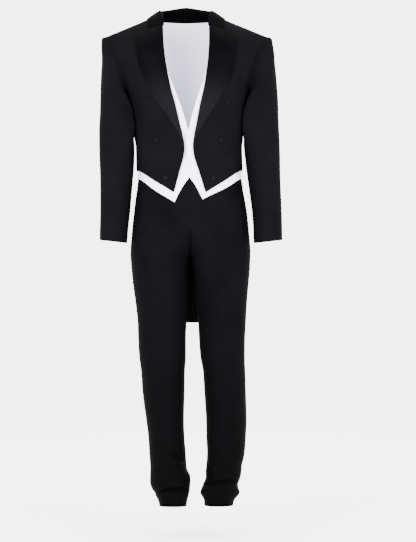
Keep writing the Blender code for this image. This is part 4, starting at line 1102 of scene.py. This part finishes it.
# The buttons' satin carries the same painted sheen, a little paler on the lower buttons.
BUTTON_SATIN = satin("button_satin", (0.0005, 0.0005, 0.0007), (0.0009, 0.0009, 0.0011), 0.026)
# Share of the radius and of the depth, from the middle of the back to the middle of the dome
BUTTON_PROFILE = [
    (0.0, 0.0), (0.55, 0.0), (0.8, 0.02), (0.93, 0.1), (0.99, 0.24), (1.0, 0.38),
    (0.97, 0.54), (0.88, 0.72), (0.72, 0.86), (0.5, 0.95), (0.25, 0.99), (0.0, 1.0),
]


def covered_button(name, x, height, grow, size, cover):
    """A button covered with cloth, its back on the cloth it is sewn to."""
    spot, out = worn(on_front(x, height, grow), grow)
    across = unit(np.cross([0.0, 0.0, 1.0], out))
    up = np.cross(out, across)
    radius, tall = size
    turns = np.linspace(0, TURN, BUTTON_SIDES, endpoint=False)
    rim = across * np.cos(turns)[:, None] + up * np.sin(turns)[:, None]
    share, rise = np.array(BUTTON_PROFILE).T[..., None, None]
    layers = spot + rim * radius * share + out * (BUTTON_OFF + tall * rise)
    points = np.concatenate([layers[0, :1], layers[1:-1].reshape(-1, 3), layers[-1, :1]])
    end = len(points) - 1
    index = closed(np.arange(1, end).reshape(-1, BUTTON_SIDES), True)
    first, last = index[0].tolist(), index[-1].tolist()
    faces = [(0, b, a) for a, b in zip(first, first[1:])] + cells(index).tolist()
    faces += [(a, b, end) for a, b in zip(last, last[1:])]
    local = (place(points) - place(spot))[[corner for face in faces for corner in face]]
    weave = np.stack([local @ across, local @ up], -1)
    piece = add_piece(name + "_covered", points, faces, weave, [cover])
    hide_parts(name)


for number, (x, height) in enumerate(COAT_BUTTONS, 1):
    for label, side in (("L", 1), ("R", -1)):
        covered_button(f"coat_button_{label}{number}", side * x, height, COAT_GROW, COAT_BUTTON,
                       BUTTON_SATIN)
for number, height in enumerate(WAISTCOAT_BUTTONS, 1):
    covered_button(f"waistcoat_button_{number}", 0.0, height, WAISTCOAT_GROW, WAISTCOAT_BUTTON,
                   WAISTCOAT_CLOTH)

# The trousers: black wool twill, each leg a front and a back with a pressed crease down both,
# breaking above the hem and cut a little lower behind. Below the crotch the legs are tubes; above
# it both halves run into the centre seam.
SEAT_EASE = 0.007
# Height, and how near each half is to a tube of its own: 1 at the crotch, 0 at the waist
RISE = [
    (0.834, 1.0), (0.846, 0.91), (0.862, 0.8), (0.9, 0.58), (0.95, 0.28), (1.0, 0.06),
    (1.04, 0.0), (1.11, 0.0),
]
RISE_FOOT = 0.834
WAIST_SEAM_HEIGHT = 1.0648
HEM_HEIGHT = 0.09
HEM_SLANT = 0.012
SLANT_ENDS = (0.09, 0.22)
LEG_SIDE_STEPS = 60
ANKLE_TOP = 0.26
ANKLE_RINGS = 110
SHIN_RINGS = 140
RISE_RINGS = 84
# The pressed crease: height, share of it behind, half width in degrees, where it starts and ends
CREASE = 0.0016
CREASE_BEHIND = 0.8
CREASE_WIDE = 3.4
CREASE_STARTS = (0.09, 0.15)
CREASE_ENDS = (0.86, 0.98)
# How far the crotch is let out, and the heights between which that ends
CROTCH_SIDE = 0.0018
CROTCH_FRONT = 0.0036
CROTCH_BACK = 0.0007
CROTCH_ENDS = (0.834, 0.93)

# Legs below the crotch: height, then inner X, outer X, front Y and back Y, left and right
LEGS = [
    (0.09, 0.0412, 0.1275, -0.088, 0.07, 0.0113, 0.0927, -0.104, 0.058),
    (0.105, 0.0402, 0.1315, -0.092, 0.073, 0.0093, 0.0967, -0.106, 0.06),
    (0.129, 0.0297, 0.1474, -0.096, 0.075, 0.0033, 0.1087, -0.11, 0.062),
    (0.153, 0.0372, 0.1425, -0.094, 0.078, 0.0003, 0.1192, -0.108, 0.064),
    (0.177, 0.0465, 0.1516, -0.088, 0.082, 0.0, 0.1207, -0.102, 0.068),
    (0.201, 0.0474, 0.154, -0.087, 0.086, 0.0105, 0.1207, -0.099, 0.072),
    (0.249, 0.0495, 0.163, -0.087, 0.092, 0.0141, 0.1237, -0.098, 0.079),
    (0.297, 0.0474, 0.1666, -0.088, 0.096, 0.018, 0.1267, -0.098, 0.085),
    (0.345, 0.0465, 0.1684, -0.09, 0.097, 0.0195, 0.1327, -0.099, 0.088),
    (0.441, 0.0405, 0.166, -0.096, 0.093, 0.0171, 0.1447, -0.103, 0.088),
    (0.489, 0.0375, 0.1645, -0.099, 0.09, 0.0165, 0.1477, -0.105, 0.087),
    (0.537, 0.0294, 0.163, -0.101, 0.091, 0.0135, 0.1537, -0.106, 0.089),
    (0.585, 0.0255, 0.1636, -0.104, 0.095, 0.0135, 0.1567, -0.108, 0.094),
    (0.633, 0.0232, 0.166, -0.107, 0.1, 0.012, 0.1582, -0.11, 0.099),
    (0.7, 0.017, 0.1698, -0.11, 0.106, 0.0098, 0.1652, -0.112, 0.106),
    (0.76, 0.0098, 0.175, -0.112, 0.114, 0.0078, 0.1734, -0.113, 0.114),
    (0.8, 0.0048, 0.1786, -0.113, 0.122, 0.0052, 0.1775, -0.113, 0.122),
    (0.834, 0.0006, 0.18, -0.113, 0.1265, 0.0006, 0.18, -0.113, 0.1265),
]

# Folds above the hems and behind the knees: turn, height, half turn, half height, slant, depth
LEG_FOLDS = {"L": [
    (-95.0, 0.16, 62.0, 0.007, 0.01, -0.013),
    (-75.0, 0.19, 26.0, 0.018, 0.0, -0.0035),
    (-95.0, 0.136, 60.0, 0.01, 0.004, 0.0035),
    (-150.0, 0.205, 40.0, 0.02, 0.02, 0.003),
    (90.0, 0.47, 50.0, 0.02, 0.0, -0.004),
    (-60.0, 0.175, 50.0, 0.006, -0.006, 0.0022),
    (-40.0, 0.225, 40.0, 0.01, -0.014, -0.0018),
    (-130.0, 0.18, 34.0, 0.007, 0.014, -0.002),
    (-30.0, 0.148, 34.0, 0.006, -0.008, -0.002),
    (80.0, 0.5, 44.0, 0.012, 0.006, 0.0018),
    (70.0, 0.44, 44.0, 0.013, -0.006, -0.0018),
], "R": [
    (-85.0, 0.136, 62.0, 0.006, -0.006, -0.0135),
    (-128.0, 0.24, 34.0, 0.009, 0.016, -0.011),
    (-90.0, 0.165, 70.0, 0.014, 0.0, 0.0035),
    (-150.0, 0.215, 40.0, 0.018, 0.01, -0.003),
    (90.0, 0.465, 50.0, 0.02, 0.0, -0.004),
    (-70.0, 0.151, 60.0, 0.006, 0.006, 0.0018),
    (-115.0, 0.19, 40.0, 0.008, 0.012, -0.0022),
    (-50.0, 0.205, 30.0, 0.01, -0.016, 0.002),
    (-150.0, 0.16, 34.0, 0.007, 0.01, -0.0018),
    (80.0, 0.495, 44.0, 0.012, -0.006, 0.0018),
    (75.0, 0.435, 44.0, 0.013, 0.006, -0.0018),
]}

# Long soft folds of the legs and seat, as X and height at each end, width and height
LEG_DRAPE = {"L": [
    (0.02, 0.86, 0.09, 0.78, 0.014, -0.002),
    (0.014, 0.84, 0.075, 0.73, 0.012, 0.0016),
    (0.05, 0.9, 0.15, 0.86, 0.016, -0.0014),
    (0.045, 0.634, 0.06, 0.4, 0.012, -0.0012),
    (0.135, 0.76, 0.142, 0.52, 0.014, -0.0014),
], "R": [
    (-0.018, 0.855, -0.085, 0.785, 0.013, -0.002),
    (-0.012, 0.835, -0.07, 0.735, 0.012, 0.0016),
    (-0.045, 0.905, -0.145, 0.855, 0.016, -0.0014),
    (-0.03, 0.65, -0.055, 0.43, 0.012, -0.0012),
    (-0.14, 0.74, -0.128, 0.5, 0.014, -0.0013),
]}

# The trousers' wool darkens from the seat down to the hems: painted shade where the light falls off near
# the floor.
TROUSER_CLOTH = twill("trouser_wool", (0.0008, 0.0008, 0.0009), (0.0026, 0.0023, 0.0034), 0.88,
                      fade=(-1.45, -0.55))
TROUSER_LINING = lining("trouser_lining", (0.0006, 0.0006, 0.0008), (0.0013, 0.0013, 0.0016))
TROUSER_FABRIC = (TROUSER_CLOTH, TROUSER_LINING, "trouser_wool")


def folded(turn, height, folds):
    """How far soft folds stand out from a leg at these turns and heights."""
    total = np.zeros(np.broadcast(turn, height).shape)
    for at, level, half_turn, half_height, slant, depth in folds:
        away = (turn - at) / half_turn
        drop = (height - level - slant * away) / half_height
        total = total + depth * np.exp(-(away**2) - drop**2)
    return total


def rise_turn(level):
    """How far round from the outside each half runs at this level, in degrees."""
    if level <= RISE_FOOT:
        return 180.0
    ratio = float(columns(RISE, level)[0])
    return math.degrees(math.acos(-(ratio ** (SHAPE / 2))))


def leg_ring(turn, level, label):
    """Points of one trouser half at this level. Turn 0 is outside, -90 in front, 90 behind."""
    if level > RISE_FOOT:
        half, front, back = (float(v) for v in columns(FIGURE, level))
        ratio = float(columns(RISE, level)[0])
        low = 1.0 - float(ease(*CROTCH_ENDS, level))
        half = half + TROUSER_GROW + low * CROTCH_SIDE
        front = front - TROUSER_GROW - low * CROTCH_FRONT
        back = back + TROUSER_GROW - SEAT_EASE * ratio + low * CROTCH_BACK
        inner = -half * (1 - ratio) / (1 + ratio)
    else:
        sizes = [float(v) for v in columns(LEGS, level)]
        inner, half, front, back = sizes[:4] if label == "L" else sizes[4:]
    wave = np.radians(turn)
    across, along = bulge(np.cos(wave)), bulge(np.sin(wave))
    slant = HEM_SLANT * (1 - float(ease(*SLANT_ENDS, level)))
    out = folded(turn, level, LEG_FOLDS[label])
    x = (half + inner) / 2 + (half - inner) / 2 * across + out * across
    y = (front + back) / 2 + (back - front) / 2 * along + out * along
    return np.stack([x, y, level - slant * along], -1)


levels = np.concatenate([
    np.linspace(HEM_HEIGHT, ANKLE_TOP, ANKLE_RINGS, endpoint=False),
    np.linspace(ANKLE_TOP, RISE_FOOT, SHIN_RINGS, endpoint=False),
    np.linspace(RISE_FOOT, WAIST_SEAM_HEIGHT, RISE_RINGS),
])
reaches = [rise_turn(level) for level in levels]
turns = np.linspace(-180, 180, 2 * LEG_SIDE_STEPS + 1)
before, behind = (np.exp(-(((turns + at) / CREASE_WIDE) ** 2)) for at in (90, -90))
knife = before + CREASE_BEHIND * behind
knife = knife * ((1 - ease(*CREASE_ENDS, levels)) * ease(*CREASE_STARTS, levels))[:, None]
legs = ANKLE_RINGS + SHIN_RINGS + 1
for label, side in (("L", 1), ("R", -1)):
    grid = np.array([
        leg_ring(np.linspace(-reach, reach, len(turns)), level, label)
        for reach, level in zip(reaches, levels)
    ])
    out = grid_out(grid)
    out[:legs] = closed(grid_out(grid[:legs, :-1]), True)
    drape = crease(side * grid[..., 0], grid[..., 2], LEG_DRAPE[label]) * (grid[..., 1] < 0)
    grid = grid + out * (drape + CREASE * knife)[..., None]
    for name, start in (("front", 0), ("back", LEG_SIDE_STEPS)):
        half = slice(start, start + LEG_SIDE_STEPS + 1)
        panel, face = let_out(grid[:, half], "lrt"), out[:, half]
        panel = turned_edge(panel, face, "lrt", *HEM_PRESS)
        panel, face = on_side(label, panel, face)
        sew(f"trouser_{name}_{label}", panel, face, TROUSER_FABRIC, ["waistband"])

# The waistband: a plain band of the trousers' wool, a full ring sewn above the fronts and backs,
# and the fly, one lap of the same cloth over the centre seam from the left.
WAISTBAND_FOOT = 1.0651
WAISTBAND_TOP = 1.104
WAISTBAND_STEPS = 180
WAISTBAND_ROWS = 22
WAISTBAND_PRESS = (0.0006, 0.0025)
FLY_EDGE = -0.0105
FLY_WIDTH = 0.034
FLY_LEVELS = np.linspace(0.915, 1.048, 60)
FLY_TAPER = (0.895, 0.955)
FLY_OFF = 0.001
FLY_WALL = 0.0008
FLY_STEPS = 40
FLY_PRESS = (0.0007, 0.004)
# Nearest to the centre seam that the lap's depth is read from the leg, and from how many points
OFF_CENTRE = 0.012
FLY_READ = 400
# Share of the lap's sides left at its foot, and of the sideways turn that its normals keep
FLY_FOOT = (0.3, 0.4)
FLY_TURN = 0.3

angle = np.linspace(0, 360, WAISTBAND_STEPS, endpoint=False)
height = np.linspace(WAISTBAND_FOOT, WAISTBAND_TOP, WAISTBAND_ROWS)
band = torso(*np.meshgrid(angle, height), TROUSER_GROW)
out = grid_out(band)
band = turned_edge(band, out, "bt", *WAISTBAND_PRESS)
sew("waistband", band, out, TROUSER_FABRIC, ["trouser_front_L", "trouser_front_R"], ring=True)

rows = []
for level in FLY_LEVELS:
    reach = rise_turn(level)
    ring = leg_ring(np.linspace(-reach, -reach / 3, FLY_READ), level, "L")
    full = float(ease(*FLY_TAPER, level))
    ends = [wide * (foot + (1 - foot) * full) for wide, foot in zip((FLY_EDGE, FLY_WIDTH), FLY_FOOT)]
    x = np.linspace(*ends, FLY_STEPS + 1)
    y = np.interp(np.maximum(np.abs(x), OFF_CENTRE), ring[:, 0], ring[:, 1])
    rows.append(np.stack([x, y, np.full(len(x), level)], -1))
lap = np.array(rows)
out = np.cross(np.gradient(lap, axis=1), np.gradient(lap, axis=0))
out[..., 0] *= FLY_TURN
out = unit(out)
lap = turned_edge(lap + out * FLY_OFF, out, "lrb", *FLY_PRESS)
sew("fly", lap, out, (TROUSER_CLOTH, TROUSER_CLOTH, "trouser_wool"),
    ["trouser_front_L", "trouser_front_R"], FLY_WALL)
